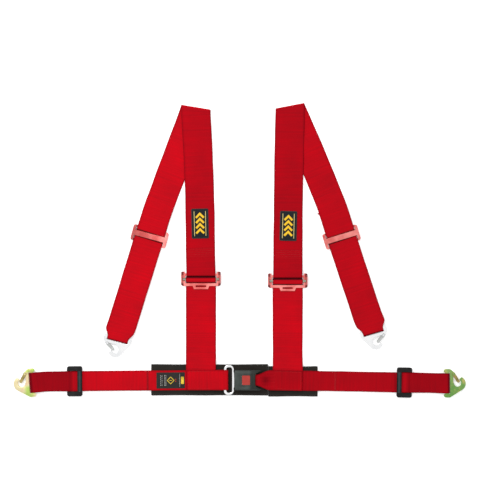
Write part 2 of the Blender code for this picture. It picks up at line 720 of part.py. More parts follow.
def latch(frame):
    """A see-saw on the latch pin: the button presses its tail down and lifts its tooth."""
    pivot = empty("latch_axis", (LATCH_PIN[0], 0.0, LATCH_PIN[1]), 0.0, frame)
    side_view = [(-14.0, -1.5), (-10.0, -1.5), (-9.2, -1.0)]
    side_view += arc((0.0, 0.0), 2.4, 205, 335, 5)
    side_view += [(12.0, -1.0), (12.0, 0.4)] + arc((0.0, 0.0), 2.4, 10, 170, 6)
    side_view += [(-14.0, 0.4)]
    body = across("latch", side_view, 8.0)
    boolean(body, rod("latch_bore", (0.0, 0.0, 0.0), 1.45, 30.0, "Y", 12), "DIFFERENCE", pivot)
    for sign in (-1, 1):
        inner, outer = sorted((sign * 4.5, sign * 12.0))
        notch = block(f"latch_notch_{sign}", (3.0, inner, -5.0), (15.0, outer, 5.0))
        boolean(body, notch, "DIFFERENCE", pivot)
    keep(body, "steel", pivot)
    pin = rod("latch_pin", (LATCH_PIN[0], 0.0, LATCH_PIN[1]), 1.2, 40.0, "Y", 12)
    return keep(pin, "steel", frame)


def button(frame):
    body = plate("release_button", [rounded((6.3, -11.8), (26.3, 11.8), 2.0, 3)], 1.7, 0.4, 22.05)
    leg = block("button_leg", (22.0, -4.0, 15.7), (25.0, 4.0, 21.6))
    boolean(body, leg, "UNION", frame)
    keep(body, "button", frame)
    return keep(wire("button_spring", coil((18.6, 8.0, 10.7), 1.8, 9.6, 5), 0.35), "steel", frame)


def ejector(frame):
    keep(block("ejector", (9.4, -14.0, 10.2), (12.4, 14.0, 12.2)), "plastic", frame)
    made = wire("ejector_spring", coil((12.9, -11.0, 11.6), 0.95, 13.0, 7, "X"), 0.3)
    return keep(made, "steel", frame)


def screws(frame):
    profile = [(0.0, 18.0), (1.0, 18.0), (1.0, 7.6), (1.7, 7.6), (1.7, 6.7), (1.4, 6.5), (0.0, 6.5)]
    for number, place in enumerate(screw_places(), 1):
        keep(turned(f"buckle_screw_{number}", profile, place, 12), "steel", frame)


# ---- the harness ------------------------------------------------------------------------------


def build_side(side):
    data = SIDES[side]
    lap_strap(side)
    lower_shoulder(side)
    upper_shoulder(side)
    patches(side)
    pads(side)
    lap_slider(side)
    shoulder_slider(side)
    adjuster(side)

    for place, name, finish_name in (("lap_hook", "_lap_hook", "zinc"), ("tail_hook", "_shoulder_hook", "chrome")):
        line, heading = hook_line(side, place)
        frame = empty(data["name"] + name + "_axis", line.at(0.0, HOOK_Z), heading)
        hook(data["name"] + name, frame, side, finish_name)


def build_buckle():
    frame = empty("buckle_place", (0.0, BELT_Y, 0.0))
    tongue(frame)
    bottom_cover(frame)
    top_cover(frame)
    buckle_frame(frame)
    latch(frame)
    button(frame)
    ejector(frame)
    screws(frame)


clear_scene()
PARTS = collection("racing_harness")
CUTTERS = collection("cutters")
for belt_side in SIDES:
    build_side(belt_side)
label()
build_buckle()
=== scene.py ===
"""Looks of the four-point racing harness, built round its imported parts.

Lengths are written in millimetres, in the drawing's own frame: +X along the lap belt, +Y up the shoulder
straps and +Z up from the surface that the harness lies on. place() turns them into the frame's metres.
Webbing, pads, patches and label are worked out as surfaces; the metal and plastic pieces are rounded
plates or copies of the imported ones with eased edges.
"""

import math

import bmesh
import bpy
import numpy as np
from mathutils import Matrix, Vector
from mathutils.geometry import tessellate_polygon


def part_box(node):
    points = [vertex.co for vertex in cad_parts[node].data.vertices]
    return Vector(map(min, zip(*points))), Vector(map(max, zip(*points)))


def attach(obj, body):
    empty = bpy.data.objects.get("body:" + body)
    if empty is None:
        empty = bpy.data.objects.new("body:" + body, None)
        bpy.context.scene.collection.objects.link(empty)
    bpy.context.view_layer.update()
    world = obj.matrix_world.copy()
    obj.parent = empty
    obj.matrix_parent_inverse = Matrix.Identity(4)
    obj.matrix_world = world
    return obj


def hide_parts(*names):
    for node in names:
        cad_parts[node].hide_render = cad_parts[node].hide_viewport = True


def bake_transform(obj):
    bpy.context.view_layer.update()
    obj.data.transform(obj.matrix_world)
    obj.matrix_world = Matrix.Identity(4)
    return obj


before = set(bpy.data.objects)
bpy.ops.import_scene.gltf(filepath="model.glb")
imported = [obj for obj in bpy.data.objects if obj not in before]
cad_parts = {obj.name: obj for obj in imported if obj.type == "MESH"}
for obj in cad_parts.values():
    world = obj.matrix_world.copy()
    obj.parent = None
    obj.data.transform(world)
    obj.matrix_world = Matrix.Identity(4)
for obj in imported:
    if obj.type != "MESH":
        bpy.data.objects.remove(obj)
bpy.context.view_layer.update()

MM = 0.001

# ---- driving dimensions, as the parts were drawn -----------------------------------------------

WEB = 1.8                  # thickness of the webbing
GAP = 0.3                  # clearance between layers
LAP_HALF = 25.0            # half widths of the webbing: lap straps, lower and upper shoulder straps
LOWER_HALF = 37.5
UPPER_HALF = 36.4
TAPER_HALF = 26.0          # and an upper strap where it passes its hook's slot
FLOOR_Z = WEB / 2          # heights of a layer's middle: on the surface, free layer, main layer
FREE_Z = 3.4
MAIN_Z = FREE_Z + WEB + GAP
BELT_Y = -324.0            # the lap belt's line
TONGUE_X = -35.7           # the tongue's and the buckle's webbing bars
BUCKLE_X = 38.0
BAR_Z = 11.7
BAR_LOOP = 4.5             # radius of the webbing round a bar
HOOK_Z = 6.9
HOOK_LOOP = 6.0
PAD_TOP = 6.0
OVER_PAD_Z = PAD_TOP + GAP + WEB / 2
SEWN_Z = OVER_PAD_Z + WEB + GAP
RETURN_Z = SEWN_Z + WEB + GAP
TOP_BAR_P = 12.9           # from the lock bar's axis to the adjuster's top bar
FRAME_LOW = 4.2
FRAME_THICK = 2.5
TOP_BAR_Z = FRAME_LOW + FRAME_THICK / 2
TOP_BAR_LOOP = 4.35
LOCK_R = 3.4
LOCK_TRAVEL = 3.0
LOCK_HALF = 45.8
LOCK_Z = FRAME_LOW + FRAME_THICK + GAP + LOCK_R
UNDER_FRAME_Z = FRAME_LOW - GAP - WEB / 2

TAIL_REACH = 1000.0        # distances along a tail are counted from this, those along a front from 0

# For each side, -1 the left and 1 the right. Places are (x, y), and a hook's have its heading too, which
# for a tail's hook is its turn from straight down. Distances along a lap strap start at the tongue's or the
# buckle's bar, and those along a tail at the fold. tail_lean is the tail's turn from straight down before
# and after its bend. bow is how far the front and the tail lie to the side of a straight line.
SIDES = {
    -1: {
        "name": "left",
        "lap_origin": (TONGUE_X, BELT_Y),
        "lap_heading": 180.55,
        "lap_hook": (-517.3, -331.0, 184.6),
        "lap_free": 196.0,
        "return_end": 95.3,
        "pad": ((-220.5, -363.5), (71.2, -285.0)),
        "pad_end": 185.0,
        "lap_slider": 375.8,
        "lower_x": -96.3,
        "lock_y": -74.4,
        "fold": (-109.2, 354.8),
        "tail_lean": (20.4, 17.2),
        "tail_length": 607.0,
        "tail_hook": (-304.0, -221.8, 14.8),
        "slider_at": 340.5,
        "patch": (-98.6, 66.0),
        "bow": (2.9, 0.0),
    },
    1: {
        "name": "right",
        "lap_origin": (BUCKLE_X, BELT_Y),
        "lap_heading": -1.05,
        "lap_hook": (518.0, -332.6, 0.6),
        "lap_free": 203.0,
        "return_end": 117.5,
        "pad": ((71.8, -366.2), (195.0, -290.0)),
        "pad_end": 157.5,
        "lap_slider": 373.5,
        "lower_x": 120.4,
        "lock_y": -79.0,
        "fold": (126.2, 358.4),
        "tail_lean": (22.4, 18.2),
        "tail_length": 598.0,
        "tail_hook": (333.2, -202.8, 16.2),
        "slider_at": 350.5,
        "patch": (122.0, 60.0),
        "bow": (-0.9, 2.4),
    },
}

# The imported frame's origin, found from a pad whose corners are known in the drawing
PAD_LOW, PAD_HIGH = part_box("left_pad")
(LEFT_X, FRONT_Y), (RIGHT_X, BACK_Y) = SIDES[-1]["pad"]
SHIFT = (np.array(PAD_LOW) + np.array(PAD_HIGH)) / 2
SHIFT -= np.array([(LEFT_X + RIGHT_X) / 2, (FRONT_Y + BACK_Y) / 2, PAD_TOP / 2]) * MM


def place(points):
    """Millimetres in the drawing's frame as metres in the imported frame."""
    return np.asarray(points, float) * MM + SHIFT


# ---- shader expressions ------------------------------------------------------------------------


class Value:
    """A socket that arithmetic works on: each operation adds its Math node."""

    def __init__(self, finish, socket):
        self.finish = finish
        self.socket = socket

    def maths(self, operation, *values):
        return self.finish.node("ShaderNodeMath", {"operation": operation}, dict(enumerate(values)))

    def __add__(self, other):
        return self.maths("ADD", self, other)

    def __sub__(self, other):
        return self.maths("SUBTRACT", self, other)

    def __rsub__(self, other):
        return self.maths("SUBTRACT", other, self)

    def __mul__(self, other):
        return self.maths("MULTIPLY", self, other)

    def __truediv__(self, other):
        return self.maths("DIVIDE", self, other)

    def __abs__(self):
        return self.maths("ABSOLUTE", self)

    __radd__ = __add__
    __rmul__ = __mul__

    def sine(self):
        return self.maths("SINE", self)

    def whole(self):
        return self.maths("FLOOR", self)

    def larger(self, other):
        return self.maths("MAXIMUM", self, other)

    def smaller(self, other):
        return self.maths("MINIMUM", self, other)

    def step(self, start, end):
        """0 before start and 1 after end, with a smooth turn between them."""
        ends = {"Value": self, "From Min": start, "From Max": end}
        return self.finish.node("ShaderNodeMapRange", {"interpolation_type": "SMOOTHSTEP"}, ends)


class Finish:
    """One material, with the method that adds its nodes."""

    def __init__(self, name, roughness=0.5, metallic=0.0, **uniform):
        self.material = bpy.data.materials.new(name)
        self.material.use_nodes = True
        self.tree = self.material.node_tree
        self.shader = self.tree.nodes["Principled BSDF"]
        self.shader.inputs["Roughness"].default_value = roughness
        self.shader.inputs["Metallic"].default_value = metallic
        for key, value in uniform.items():
            socket = key.replace("_", " ").title().replace("Ior", "IOR")
            self.shader.inputs[socket].default_value = value

    def node(self, kind, settings=None, inputs=None, out=0):
        """Adds a node of this type: its settings first, then its sockets' values or links."""
        made = self.tree.nodes.new(kind)
        for key, value in (settings or {}).items():
            setattr(made, key, value)
        for key, value in (inputs or {}).items():
            self.feed(made.inputs[key], value)
        return Value(self, made.outputs[out])

    def feed(self, socket, value):
        if isinstance(value, Value):
            self.tree.links.new(value.socket, socket)
        elif isinstance(value, tuple) and socket.type == "RGBA":
            socket.default_value = (*value, 1.0)
        else:
            socket.default_value = value

    def mix(self, share, first, second):
        """Colours mixed by a share from 0 to 1."""
        return self.node("ShaderNodeMix", {"data_type": "RGBA"}, {0: share, 6: first, 7: second}, 2)

    def noise(self, vector, scale, detail=2.0, roughness=0.5):
        inputs = {"Vector": vector, "Scale": scale, "Detail": detail, "Roughness": roughness}
        return self.node("ShaderNodeTexNoise", None, inputs)

    def place(self):
        return self.node("ShaderNodeTexCoord", None, None, 3)

    def first_two(self, vector):
        """The first two parts of a vector."""
        split = self.node("ShaderNodeSeparateXYZ", None, {0: vector})
        return split, Value(self, split.socket.node.outputs[1])

    def along_across(self):
        """The piece's own map, in metres along and across it."""
        return self.first_two(self.node("ShaderNodeUVMap", {"uv_map": "Along"}))

    def vector(self, x, y):
        return self.node("ShaderNodeCombineXYZ", None, {0: x, 1: y})

    def share(self, name):
        """A value that the piece's surface carries."""
        return self.node("ShaderNodeAttribute", {"attribute_name": name}, None, 2)

    def colour(self, value):
        self.feed(self.shader.inputs["Base Color"], value)
        return self

    def rough(self, value):
        self.feed(self.shader.inputs["Roughness"], value)
        return self

    def relief(self, height, depth, strength=1.0):
        """Bump from a height of 0 to 1, this many metres deep."""
        bump = self.node("ShaderNodeBump", None, {"Strength": strength, "Distance": depth, "Height": height})
        self.feed(self.shader.inputs["Normal"], bump)
        return self


TURN = 2 * math.pi
RIB_PITCH = 0.0019         # of the webbing's weave, in metres
YARN_PITCH = 0.0015
COVER_PITCH = 0.0022       # of the pads' weave
TWILL_PITCH = 0.0009
SATIN_PITCH = 0.0007


def webbing_finish(name, bright, deep, dark):
    """Woven polyester: transverse ribs over lengthwise yarns, faint bands, a darker selvedge, painted shade
    in the weave's valleys, and painted shade and highlight from the piece's shade values.
    """
    made = Finish(name, roughness=0.72, sheen_weight=0.12, sheen_roughness=0.5, specular_ior_level=0.0,
                  sheen_tint=(0.9, 0.10, 0.12, 1.0))
    along, across = made.along_across()
    rib = (along * (TURN / RIB_PITCH) + (across / YARN_PITCH).whole() * math.pi).sine() * 0.5 + 0.5
    yarn = abs((across * (math.pi / YARN_PITCH)).sine())
    band = made.noise(made.vector(along * 210.0, across * 6.0), 1.0, 3.0, 0.6)
    cloud = made.noise(made.vector(along * 9.0, across * 14.0), 1.0, 2.0, 0.5)
    light = (band - 0.5) * 1.5 + (cloud - 0.5) * 1.2 + 0.5
    body = made.mix(light.larger(0.0).smaller(1.0), deep, bright)
    # painted shade in the valleys between ribs and between yarns
    body = made.mix((1 - rib) * 0.22 + (1 - yarn) * 0.12, body, dark)
    body = made.mix(made.share("selvedge") * 0.45, body, dark)
    # painted shade and highlight, from the piece's shade values
    body = made.mix(made.share("shade"), body, dark)
    fuzz = made.noise(made.vector(along * 2600.0, across * 2600.0), 1.0, 1.0)
    made.colour(body).rough(0.62 + fuzz * 0.22)
    return made.relief(rib * 0.65 + yarn * 0.3 + fuzz * 0.15, 0.00022, 0.9)


def thread_finish(name, light, dark):
    """Twisted sewing thread."""
    made = Finish(name, roughness=0.6, sheen_weight=0.1, specular_ior_level=0.1)
    grain = made.noise(made.place(), 900.0, 1.0)
    return made.colour(made.mix(grain, dark, light)).relief(grain, 0.0001)


def cover_finish():
    """The pads' black woven cover, dusty in soft patches."""
    made = Finish("Black pad cloth", roughness=0.85, sheen_weight=0.08, specular_ior_level=0.12)
    x, y = made.first_two(made.place())
    weave = (x * (TURN / COVER_PITCH)).sine() * (y * (TURN / COVER_PITCH)).sine() * 0.5 + 0.5
    dust = made.noise(made.place(), 22.0, 4.0, 0.65)
    speck = made.noise(made.place(), 700.0, 2.0, 0.6)
    body = made.mix(dust * 0.55 + speck * 0.3, (0.006, 0.005, 0.004), (0.026, 0.022, 0.018))
    made.colour(body).rough(0.75 + speck * 0.2)
    return made.relief(weave * 0.7 + speck * 0.4, 0.0003, 0.8)


def twill_finish(name, base, tint):
    """Fine diagonal twill of a badge or label."""
    made = Finish(name, roughness=0.7, sheen_weight=0.05, specular_ior_level=0.12)
    x, y = made.first_two(made.place())
    rib = ((x + y) * (TURN / TWILL_PITCH)).sine() * 0.5 + 0.5
    cloud = made.noise(made.place(), 60.0, 3.0, 0.6)
    body = made.mix(rib * 0.35 + cloud * 0.65, base, tint)
    return made.colour(body).relief(rib, 0.00012, 0.8)


def satin_finish(name, light, dark):
    """Embroidery thread laid side by side, glossy along its ridges, which are also painted lighter as a
    sheen.
    """
    made = Finish(name, roughness=0.45, sheen_weight=0.1, specular_ior_level=0.25)
    along, _ = made.along_across()
    ridge = (along * (TURN / SATIN_PITCH)).sine() * 0.5 + 0.5
    cloud = made.noise(made.place(), 300.0, 2.0)
    body = made.mix(ridge * 0.6 + cloud * 0.4, dark, light)
    return made.colour(body).relief(ridge, 0.00012, 0.8)


def print_finish(name, light, dark):
    """Ink on woven cloth: broken where the threads cross."""
    made = Finish(name, roughness=0.6, specular_ior_level=0.15)
    grain = made.noise(made.place(), 1500.0, 2.0, 0.7)
    return made.colour(made.mix(grain.step(0.32, 0.6), dark, light)).relief(grain, 0.00005)


def metal_finish(name, light, deep, roughness, grain_depth=0.00002, dark=None):
    """Pressed and plated metal: a soft cloud of tone, fine tumbling marks, small scratches, and painted shade
    from the piece's shade values where a dark colour is given.
    """
    made = Finish(name, roughness=roughness, metallic=1.0)
    cloud = made.noise(made.place(), 38.0, 3.0, 0.55)
    mark = made.noise(made.place(), 950.0, 3.0, 0.6)
    stretched = made.node("ShaderNodeMapping", None, {0: made.place(), 3: (60.0, 1800.0, 900.0)})
    scratch = made.noise(stretched, 1.0, 2.0)
    body = made.mix(cloud.step(0.3, 0.7), deep, light)
    if dark:
        body = made.mix(made.share("shade"), body, dark)
    made.colour(body).rough(roughness + (mark - 0.5) * 0.16 + scratch.step(0.62, 0.8) * 0.14)
    return made.relief(mark * 0.7 + scratch * 0.3, grain_depth, 0.6)


def passivate_finish(name, pale, green, gold, balance):
    """Yellow passivated zinc: cream, green and gold drift into each other over the plate."""
    made = Finish(name, roughness=0.3, metallic=1.0)
    drift = made.noise(made.place(), 21.0, 2.0, 0.5)
    second = made.noise(made.place(), 55.0, 3.0, 0.6)
    mark = made.noise(made.place(), 900.0, 2.0, 0.6)
    body = made.mix(drift.step(balance - 0.09, balance + 0.09), pale, green)
    body = made.mix(second.step(0.50, 0.72), body, gold)
    made.colour(body).rough(0.26 + mark * 0.14)
    return made.relief(mark, 0.00002, 0.6)


def moulded_finish(name, base, worn, roughness=0.42, shine=0.28, dark=None):
    """Moulded plastic with a fine spark-eroded grain and handling marks, and painted shade from the piece's
    shade values where a dark colour is given.
    """
    made = Finish(name, roughness=roughness, specular_ior_level=shine)
    grain = made.noise(made.place(), 1700.0, 2.0, 0.6)
    rub = made.noise(made.place(), 45.0, 4.0, 0.65)
    body = made.mix(rub.step(0.42, 0.72) * 0.8 + grain * 0.2, base, worn)
    if dark:
        body = made.mix(made.share("shade"), body, dark)
    made.colour(body).rough(roughness - 0.06 + grain * 0.1 + rub * 0.08)
    return made.relief(grain, 0.00005, 0.7)


RED_BRIGHT, RED_DEEP, RED_DARK = (0.60, 0.003, 0.009), (0.38, 0.005, 0.010), (0.085, 0.002, 0.005)
WEBBING = webbing_finish("Red harness webbing", RED_BRIGHT, RED_DEEP, RED_DARK)
THREAD = thread_finish("Red sewing thread", (0.50, 0.010, 0.014), (0.22, 0.005, 0.008))
DARK_THREAD = thread_finish("Dark sewing thread", (0.10, 0.006, 0.008), (0.03, 0.003, 0.004))
PAD_CLOTH = cover_finish()
BLACK_THREAD = thread_finish("Black sewing thread", (0.06, 0.055, 0.05), (0.015, 0.014, 0.013))
BADGE_CLOTH = twill_finish("Navy badge twill", (0.004, 0.005, 0.007), (0.014, 0.018, 0.022))
BADGE_EDGE = satin_finish("Black badge border", (0.016, 0.017, 0.018), (0.004, 0.004, 0.005))
GOLD_THREAD = satin_finish("Yellow embroidery", (0.90, 0.56, 0.012), (0.55, 0.32, 0.008))
PALE_THREAD = satin_finish("Pale yellow embroidery", (0.72, 0.62, 0.25), (0.42, 0.34, 0.10))
LABEL_CLOTH = twill_finish("Black label cloth", (0.010, 0.010, 0.010), (0.030, 0.029, 0.027))
WHITE_INK = print_finish("White label ink", (0.55, 0.55, 0.52), (0.16, 0.16, 0.15))
YELLOW_INK = print_finish("Yellow label ink", (0.80, 0.58, 0.05), (0.40, 0.28, 0.03))
RED_INK = print_finish("Red label ink", (0.60, 0.04, 0.02), (0.25, 0.02, 0.01))
CHROME = metal_finish("Bright chrome plate", (0.93, 0.93, 0.93), (0.84, 0.85, 0.86), 0.12, 0.00001)
STEEL = metal_finish("Grey plated steel", (0.34, 0.34, 0.27), (0.17, 0.18, 0.14), 0.34, 0.00004)
# its dark colour is that of the painted shade on the adjusters' rims and the shoulder sliders
ANODISED = metal_finish("Red anodised metal", (0.92, 0.30, 0.27), (0.66, 0.12, 0.11), 0.30,
                        dark=(0.12, 0.012, 0.014))
GATE = metal_finish("Olive passivated gate", (0.42, 0.33, 0.12), (0.16, 0.13, 0.05), 0.40, 0.00004)
GREY_GATE = metal_finish("Grey plated gate", (0.66, 0.67, 0.66), (0.42, 0.43, 0.42), 0.30, 0.00004)
# the gate springs' own dark red, also worn by the painted shadow ridges along the shoulder sliders' bars
SPRING_AND_SHADOW_RED = metal_finish("Dark red serration", (0.16, 0.012, 0.012), (0.06, 0.006, 0.006), 0.45)
LEFT_ZINC = passivate_finish("Pale passivated zinc", (0.74, 0.64, 0.38), (0.40, 0.56, 0.12),
                             (0.70, 0.46, 0.28), 0.50)
RIGHT_ZINC = passivate_finish("Green passivated zinc", (0.26, 0.40, 0.13), (0.15, 0.32, 0.08),
                              (0.56, 0.48, 0.16), 0.46)
PLASTIC = moulded_finish("Black moulded plastic", (0.007, 0.007, 0.007), (0.018, 0.018, 0.018), shine=0.12)
# its dark colour is that of the painted shade on the buckle's covers
BUCKLE_PLASTIC = moulded_finish("Dark grey moulded plastic", (0.028, 0.036, 0.032), (0.048, 0.060, 0.054),
                                dark=(0.006, 0.009, 0.006))
# the lap sliders' bar crowns: glossier than the rest, and lighter as a painted highlight
HIGHLIT_GLOSSY_PLASTIC = moulded_finish("Polished black plastic", (0.012, 0.020, 0.022), (0.022, 0.032, 0.035), 0.3, 0.3)
BUTTON = moulded_finish("Red button plastic", (0.34, 0.024, 0.018), (0.40, 0.048, 0.034), 0.38)


# ---- meshes ------------------------------------------------------------------------------------


def shown(name, data):
    """A new object in the scene."""
    made = bpy.data.objects.new(name, data)
    bpy.context.scene.collection.objects.link(made)
    return made


def piece(name, points, faces, finish, body):
    """A mesh object at the origin from points in the drawing's frame, riding on a body if one is named."""
    mesh = bpy.data.meshes.new(name)
    mesh.from_pydata(place(points).tolist(), [], faces)
    mesh.polygons.foreach_set("use_smooth", [True] * len(mesh.polygons))
    mesh.materials.append(finish.material)
    made = shown(name, mesh)
    if body:
        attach(made, body)
    return made


def grid_faces(rows, columns, ring=False, first=0):
    """Quads between neighbouring rows of a grid; a ring also joins its last column to its first."""
    i = np.arange(rows - 1)[:, None]
    j = np.arange(columns if ring else columns - 1)[None, :]
    k = (j + 1) % columns
    quads = np.stack([i * columns + j, (i + 1) * columns + j, (i + 1) * columns + k, i * columns + k], -1)
    return (quads.reshape(-1, 4) + first).tolist()


def corner_values(made, values):
    """Writes a value for each point as the mesh's map along and across it, in metres."""
    mesh = made.data
    corners = np.empty(len(mesh.loops), np.int32)
    mesh.loops.foreach_get("vertex_index", corners)
    layer = mesh.uv_layers.new(name="Along")
    layer.data.foreach_set("uv", (np.asarray(values, np.float32) * MM)[corners].ravel())


def point_values(made, name, values):
    layer = made.data.attributes.new(name, "FLOAT", "POINT")
    layer.data.foreach_set("value", np.asarray(values, np.float32).ravel())


def sharpen(shape, degrees):
    """The shape's edges are sharp past this angle and smooth below it."""
    limit = math.radians(degrees)
    for edge in shape.edges:
        edge.smooth = edge.calc_face_angle(0.0) < limit


def crisp(made, degrees=35.0):
    """A piece's edges stay sharp past this angle."""
    shape = bmesh.new()
    shape.from_mesh(made.data)
    sharpen(shape, degrees)
    shape.to_mesh(made.data)
    shape.free()


def weld(made):
    """Points of a new piece that coincide become one, and its faces point outwards."""
    shape = bmesh.new()
    shape.from_mesh(made.data)
    bmesh.ops.remove_doubles(shape, verts=shape.verts, dist=1e-7)
    bmesh.ops.recalc_face_normals(shape, faces=shape.faces)
    shape.to_mesh(made.data)
    shape.free()


def held(share):
    """The share itself, but no less than 0 and no more than 1."""
    return min(max(share, 0.0), 1.0)


def soft_step(value, start, end):
    """0 before start and 1 after end, turning smoothly."""
    share = np.clip((np.asarray(value, float) - start) / (end - start), 0.0, 1.0)
    return share * share * (3 - 2 * share)


def arc(centre, radius, start, end, steps=6):
    """Points on an arc, its angles in degrees."""
    turns = np.radians(np.linspace(start, end, steps + 1))
    return [(centre[0] + radius * math.cos(a), centre[1] + radius * math.sin(a)) for a in turns]


def rounded(low, high, radius, steps=6):
    """A rectangle with round corners, anticlockwise."""
    left, bottom = low[0] + radius, low[1] + radius
    right, top = high[0] - radius, high[1] - radius
    return (
        arc((right, bottom), radius, -90, 0, steps)
        + arc((right, top), radius, 0, 90, steps)
        + arc((left, top), radius, 90, 180, steps)
        + arc((left, bottom), radius, 180, 270, steps)
    )


def eased(points, radius, sharp=20.0, steps=4):
    """The outline with a short curve in place of each corner that turns more than the sharp angle."""
    points = np.asarray(points, float)
    before, after = np.roll(points, 1, 0) - points, np.roll(points, -1, 0) - points
    made = []
    for corner, back, ahead in zip(points, before, after):
        back_length, ahead_length = np.linalg.norm(back), np.linalg.norm(ahead)
        turn = 180.0 - math.degrees(math.acos(np.clip(back @ ahead / (back_length * ahead_length), -1, 1)))
        if turn < sharp:
            made.append(tuple(corner))
            continue
        start = corner + back / back_length * min(radius, 0.42 * back_length)
        end = corner + ahead / ahead_length * min(radius, 0.42 * ahead_length)
        for share in np.linspace(0, 1, steps + 1):
            spot = (1 - share) ** 2 * start + 2 * share * (1 - share) * corner + share**2 * end
            made.append(tuple(spot))
    return made


def inset(loop, distance):
    """The closed loop moved to its left by this distance, square to its edges."""
    edge = np.roll(loop, -1, 0) - loop
    edge /= np.maximum(np.linalg.norm(edge, axis=1, keepdims=True), 1e-9)
    left = np.stack([-edge[:, 1], edge[:, 0]], 1)
    middle = left + np.roll(left, 1, 0)
    middle /= np.maximum((middle**2).sum(1, keepdims=True) / 2, 0.35)
    return loop + middle * distance


def signed_area(loop):
    x, y = loop[:, 0], loop[:, 1]
    return (x * np.roll(y, -1) - y * np.roll(x, -1)).sum() / 2


def rounded_plate(outlines, thickness, edge, height=0.0, steps=4):
    """A plate about w = height: a quarter-round profile of this edge radius is carried round each outline,
    the first the plate's own and the others its holes, and the flat faces close the loops."""
    angle = np.radians(np.linspace(0, 90, steps + 1))
    drop = edge * (1 - np.cos(angle))
    rise = thickness / 2 - edge + edge * np.sin(angle)
    profile = [(d, -r) for d, r in zip(drop[::-1], rise[::-1])] + list(zip(drop, rise))
    points, faces, low_loops, high_loops = [], [], [], []
    for number, outline in enumerate(outlines):
        loop = np.asarray(outline, float)
        if (signed_area(loop) > 0) == (number > 0):
            loop = loop[::-1]
        start, count = sum(len(p) for p in points), len(loop)
        rings = [np.column_stack([inset(loop, d), np.full(count, height + r)]) for d, r in profile]
        points += rings
        faces += [face[::-1] for face in grid_faces(len(profile), count, True, start)]
        low_loops.append((start, rings[0]))
        high_loops.append((start + (len(profile) - 1) * count, rings[-1]))
    for loops, turn in ((low_loops, -1), (high_loops, 1)):
        index = np.concatenate([first + np.arange(len(ring)) for first, ring in loops])
        for triangle in tessellate_polygon([[Vector(p) for p in ring] for _, ring in loops]):
            a, b, c = (np.concatenate([ring for _, ring in loops])[k] for k in triangle)
            up = np.cross(b - a, c - a)[2] * turn > 0
            corners = [int(index[k]) for k in triangle]
            faces.append(corners if up else corners[::-1])
    return np.concatenate(points), faces


class Seat:
    """A frame of its own in the drawing: u along the heading, v to its left, w up."""

    def __init__(self, at, heading=0.0, tilt=None):
        turn = Matrix.Rotation(math.radians(heading), 3, "Z")
        self.turn = np.array(turn if tilt is None else turn @ tilt)
        self.at = np.asarray(at, float)

    def points(self, local):
        return np.asarray(local, float) @ self.turn.T + self.at


EASED_PAST = 32.0          # a copy's edges are eased past this angle, in degrees


def kept_copy(node, width, finish, body, segments=3, shaped=None):
    """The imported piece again, its flat faces whole, its shape changed by shaped if that is given, and its
    edges eased by this width. It rides on a body if one is named."""
    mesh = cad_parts[node].data.copy()
    shape = bmesh.new()
    shape.from_mesh(mesh)
    bmesh.ops.remove_doubles(shape, verts=shape.verts, dist=2e-6)
    bmesh.ops.dissolve_limit(shape, angle_limit=math.radians(0.5), verts=shape.verts, edges=shape.edges)
    if shaped:
        shaped(shape)
    for face in shape.faces:
        face.smooth = True
    sharpen(shape, EASED_PAST)
    shape.to_mesh(mesh)
    shape.free()
    mesh.materials.clear()
    mesh.materials.append(finish.material)
    made = shown("Rounded_" + node, mesh)
    if width:
        bevel = made.modifiers.new("Edges", "BEVEL")
        bevel.width = width * MM
        bevel.segments = segments
        bevel.limit_method = "ANGLE"
        bevel.angle_limit = math.radians(EASED_PAST)
        bevel.harden_normals = True
        bevel.use_clamp_overlap = True
    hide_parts(node)
    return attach(made, body) if body else made


def paint(node, finish):
    """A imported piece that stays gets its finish."""
    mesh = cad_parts[node].data
    mesh.materials.clear()
    mesh.materials.append(finish.material)


# ---- webbing -----------------------------------------------------------------------------------


class Line:
    """A straight strap's centre line: an origin and a heading, in plan."""

    def __init__(self, origin, heading):
        angle = math.radians(heading)
        self.heading = heading
        self.origin = np.array([*origin, 0.0])
        self.along = np.array([math.cos(angle), math.sin(angle), 0.0])
        self.left = np.array([-math.sin(angle), math.cos(angle), 0.0])

    def at(self, s, z):
        """The point at this distance along the line and this height."""
        return self.origin + self.along * s + np.array([0.0, 0.0, z])

    def reach(self, point):
        """How far along the line a point lies."""
        return float((point - self.origin) @ self.along)

    def rows(self, path, half=None):
        """(centre, half-width vector, distance) for each (s, z) or (s, z, half) of the path."""
        made = []
        for s, z, *own in path:
            wide = own[0] if own else half(s) if callable(half) else half
            made.append((self.at(s, z), self.left * wide, s))
        return made


def blurred(values, spread):
    """The rows averaged with their neighbours under a bell curve; past the ends they go on straight."""
    reach = int(4 * spread) + 1
    bell = np.exp(-0.5 * (np.arange(-reach, reach + 1) / spread) ** 2)
    bell /= bell.sum()
    before = 2 * values[0] - values[reach:0:-1]
    after = 2 * values[-1] - values[-2:-reach - 2:-1]
    long = np.concatenate([before, values, after])
    return np.stack([np.convolve(column, bell, "valid") for column in long.T], 1)


